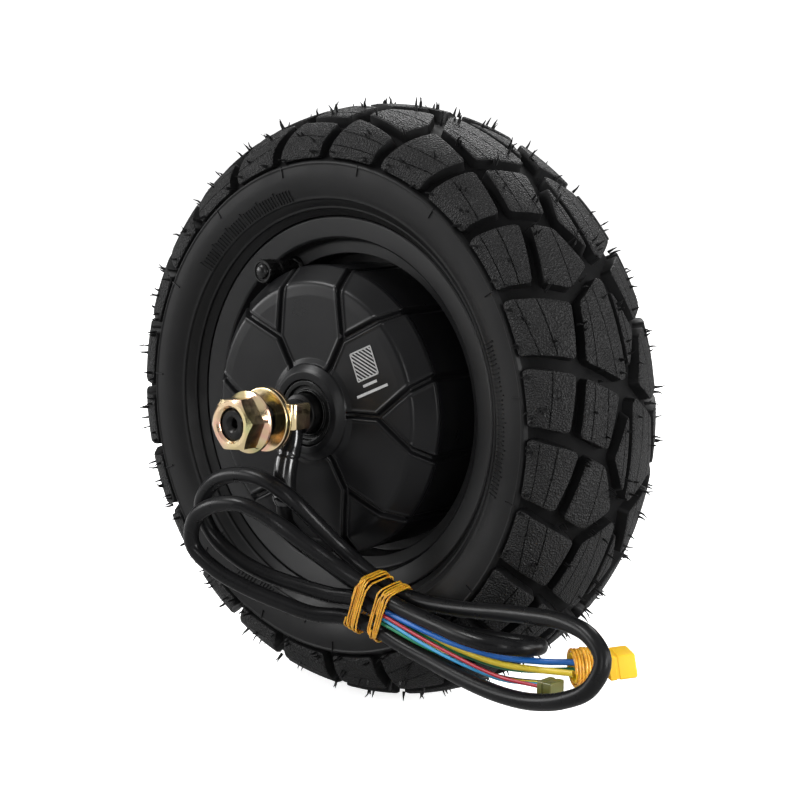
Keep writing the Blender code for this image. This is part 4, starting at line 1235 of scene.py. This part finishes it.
def add_valve():
    """Rubber stem and ribbed cap, beside the petal face."""
    steps = 72
    rings = []
    for radius, height, rib in ((0.3, 38.55, 0.0), (1.5, 38.4, 0.0), (2.4, 37.95, 0.0),
                                (2.9, 37.3, 0.0), (3.1, 36.8, 0.0), (3.5, 36.8, 0.0),
                                (3.8, 37.2, 0.0), (4.3, 37.2, 0.0), (4.6, 36.7, 0.1),
                                (4.7, 35.6, 0.25), (4.7, 31.6, 0.25), (4.5, 31.0, 0.1),
                                (3.2, 31.0, 0.0)):
        rings.append([polar(radius - rib * (0.5 + 0.5 * math.cos(TAU * j / 6)), height,
                            360 * j / steps) for j in range(steps)])
    cap = moved(loft("valve_cap_ribbed", rings), VALVE_PLACE)
    new_piece(cap, ["seal"], WHEEL, ["valve_cap"])
    profile = [(0.0, 31.2), (3.0, 31.2), (3.0, 29.9, 0.3), (3.7, 29.2, 0.4), (3.6, 22.0),
               (4.4, 18.0, 0.5), (4.4, 7.0, 1.5), (0.0, 6.6)]
    outline = [(max(radius, 0.01), height) for radius, height in rounded(profile, False)]
    stem = moved(loft("valve_stem_rubber", ring_stack(outline, 40)), VALVE_PLACE)
    new_piece(stem, ["seal"], WHEEL, ["valve_stem"])


def add_seals():
    """Axle seals: a lip with a garter groove on each side."""
    near = [(7.75, 41.8), (7.75, 45.6, 0.2), (8.5, 46.0, 0.3), (8.9, 45.2, 0.3),
            (10.0, 45.2, 0.3), (10.5, 46.4, 0.3), (12.0, 46.5, 0.3), (12.45, 46.0, 0.2),
            (12.45, 41.8)]
    far = [(radius, -height + 5.6, *rest) for radius, height, *rest in near]
    for side, profile in (("near", near), ("far", far)):
        mesh = turned(f"axle_oil_seal_{side}", profile, 96)
        new_piece(mesh, ["seal"], WHEEL, [f"axle_seal_{side}"])


def add_mark():
    """A small pale laser-marked panel on one petal: a hatched square and two plain bars."""
    shape = bmesh.new()
    centre = Vector((25.6, 20.8))
    right = heading(MARK_TILT)
    up = left_of(right)

    def strip(x0, y0, x1, y1, half):
        start, end = Vector((x0, y0)), Vector((x1, y1))
        side = left_of((end - start).normalized()) * half
        verts = []
        for corner in (start - side, end - side, end + side, start + side):
            spot = centre + right * corner.x + up * corner.y
            verts.append(shape.verts.new(Vector((spot.x, -43.02, spot.y)) * MM))
        shape.faces.new(verts)

    half = MARK_SIDE / 2
    for edge in (-half, half):
        strip(-half, edge, half, edge, 0.28)
        strip(edge, -half, edge, half, 0.28)
    lines = 6
    for k in range(1, 2 * lines):
        reach = MARK_SIDE * k / lines
        near, far = min(reach, MARK_SIDE), max(0.0, reach - MARK_SIDE)
        strip(-half + far, -half + near, -half + near, -half + far, 0.26)
    for bar, drop in ((3.6, 2.3), (8.0, 5.2)):
        strip(-bar, -half - drop, bar, -half - drop, 0.5)
    new_piece(freed("hub_laser_mark", shape), ["mark"], WHEEL, sharp=0)


# Axle and its hardware

def thread_radius(height, scale, flats):
    """The axle's thread at a height, by angle: shallower by a scale, cut off at the flats."""
    def radius_at(degrees):
        phase = (height / THREAD_PITCH - degrees / 360) % 1.0
        depth = THREAD_DEPTH * scale * (1 - abs(2 * phase - 1)) * 1.15
        radius = THREAD_RADIUS - max(0.0, depth - 0.06)
        if flats:
            across = abs(math.cos(math.radians(degrees)))
            radius = min(radius, FLAT_HALF / max(across, 0.01))
        return radius
    return radius_at


def add_axle():
    """Axle with threads that run out in a pitch, flats, journals and the centre hole."""
    profile = [(0.4, AXLE_END - 4.6), (1.6, AXLE_END - 4.0), (1.7, AXLE_END - 1.6),
               (2.7, AXLE_END - 0.2), (3.0, AXLE_END), (4.9, AXLE_END)]
    height = AXLE_END - 0.4
    while height > NEAR_THREAD_END:
        scale = min(1.0, (height - NEAR_THREAD_END) / THREAD_PITCH)
        profile.append((thread_radius(height, scale, height > NEAR_FLATS_END), height))
        height -= THREAD_PITCH / 8
    profile += [(5.9, 51.0), (7.3, 50.4), (7.5, 50.1), (7.5, 29.7), (9.4, 29.6), (9.4, -24.6),
                (7.5, -24.7), (7.5, -45.0), (7.3, -45.4), (5.9, -46.0)]
    height = FAR_THREAD_END - 0.2
    while height > -AXLE_END + 0.4:
        scale = min(1.0, (FAR_THREAD_END - height) / THREAD_PITCH)
        profile.append((thread_radius(height, scale, height < FAR_FLATS_END), height))
        height -= THREAD_PITCH / 8
    profile += [(4.9, -AXLE_END), (3.0, -AXLE_END), (2.7, -AXLE_END + 0.2),
                (1.7, -AXLE_END + 1.6), (0.4, -AXLE_END + 4.6)]
    mesh = loft("axle_shaft", ring_stack(profile, 72))
    new_piece(mesh, ["black_steel"], AXLE, ["axle"], 28)


def add_washers():
    """Flat washers and tab washers with their bent tabs."""
    for side, sign in (("near", 1), ("far", -1)):
        for name, node, low, high, radius, top in (
                ("plain", "flat", 67.4, 69.4, 11.9, 0.5), ("lock", "tab", 65.4, 67.1, 11.7, 0.35)):
            profile = [(6.2, low * sign), (radius, low * sign, 0.35), (radius, high * sign, top),
                       (6.2, high * sign, 0.3)]
            mesh = turned(f"{name}_washer_{side}", profile, 96)
            new_piece(mesh, ["zinc"], AXLE, [f"{node}_washer_{side}"])
        add_tab(side, sign)


def add_tab(side, sign):
    """A tab of sheet steel that leaves the washer and bends towards the hub."""
    path = [(9.0, 66.25)]
    for k in range(9):
        angle = math.radians(90 * k / 8)
        path.append((10.0 + 1.9 * math.sin(angle), 64.35 + 1.9 * math.cos(angle)))
    path += [(11.9, 60.5), (11.9, 58.5), (11.9, 57.9)]
    half_thickness = 0.8
    rings = []
    for i, (x, height) in enumerate(path):
        normal = path_normal(path, i)
        narrow = 0.7 if i == len(path) - 1 else 0.0
        rings.append([Vector((x + normal.x * through, -(height + normal.y * through) * sign,
                              across + 1.8)) * MM
                      for across, through in round_box_outline(4.8 - narrow, half_thickness,
                                                               0.3, 3)])
    new_piece(loft(f"lock_washer_tab_{side}", rings), ["zinc"], AXLE)


def bore_radius(height):
    """The nut's threaded bore at a height, by angle."""
    start = height / THREAD_PITCH
    return lambda degrees: 5.95 + 0.3 * abs(2 * ((start - degrees / 360) % 1.0) - 1)


def add_nut(side, base, sign):
    """Flange nut: flange, hexagon with chamfered corners and a threaded bore."""
    steps = 144
    top = base + NUT_HEIGHT
    sides = hexagon(NUT_HALF, 60)
    flange = [(6.3, base), (11.0, base), (11.5, base + 0.25), (11.6, base + 0.8),
              (11.4, base + 1.5), (11.05, base + 1.75),
              (lambda degrees: sides(degrees) + 0.12, base + 2.9), (sides, base + 3.3)]
    chamfer = []
    for angle in (360 * j / steps for j in range(steps)):
        radius = sides(angle)
        drop = max(0.0, radius - NUT_CROWN) * 0.62
        chamfer.append(polar(radius, (top - drop) * sign, angle + NUT_TURN))
    bore = [(NUT_CROWN, top), (6.9, top), (6.1, top - 0.9)]
    height = top - 1.0
    while height > base + 0.4:
        bore.append((bore_radius(height), height))
        height -= THREAD_PITCH / 6
    lower, upper = (ring_stack([(radius, height * sign) for radius, height in profile], steps,
                               NUT_TURN) for profile in (flange, bore))
    mesh = loft(f"hex_flange_nut_{side}", lower + [chamfer] + upper, closed=True)
    new_piece(mesh, ["zinc"], AXLE, [f"flange_nut_{side}"], 24)


def dress_inner_nodes():
    """Finishes for the CAD nodes that stay as they are inside the motor."""
    looks = {
        "bearing_inner_race": "bearing", "bearing_outer_race": "bearing",
        "bearing_balls": "bearing", "back_iron": "lamination", "magnet_ring": "magnet",
        "stator_core": "lamination", "stator_hub": "cast", "stator_winding": "copper",
        "hall_sensor_board": "board", "inner_lead": "cable",
    }
    for node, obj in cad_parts.items():
        for start, look in looks.items():
            if node.startswith(start):
                for slot in obj.material_slots:
                    slot.material = LOOKS[look]


def main():
    """Builds every piece, the studio and the camera."""
    add_camera()
    for build in (add_cable, add_strain_relief, add_carcass, add_tread, add_hairs,
                  add_sidewall_marks, add_petal_face, add_rim, add_rear_cover, add_valve,
                  add_seals, add_mark, add_axle, add_washers):
        build()
    for side, (base, sign) in NUT_BASES.items():
        add_nut(side, base, sign)
    dress_inner_nodes()
    add_studio()


main()
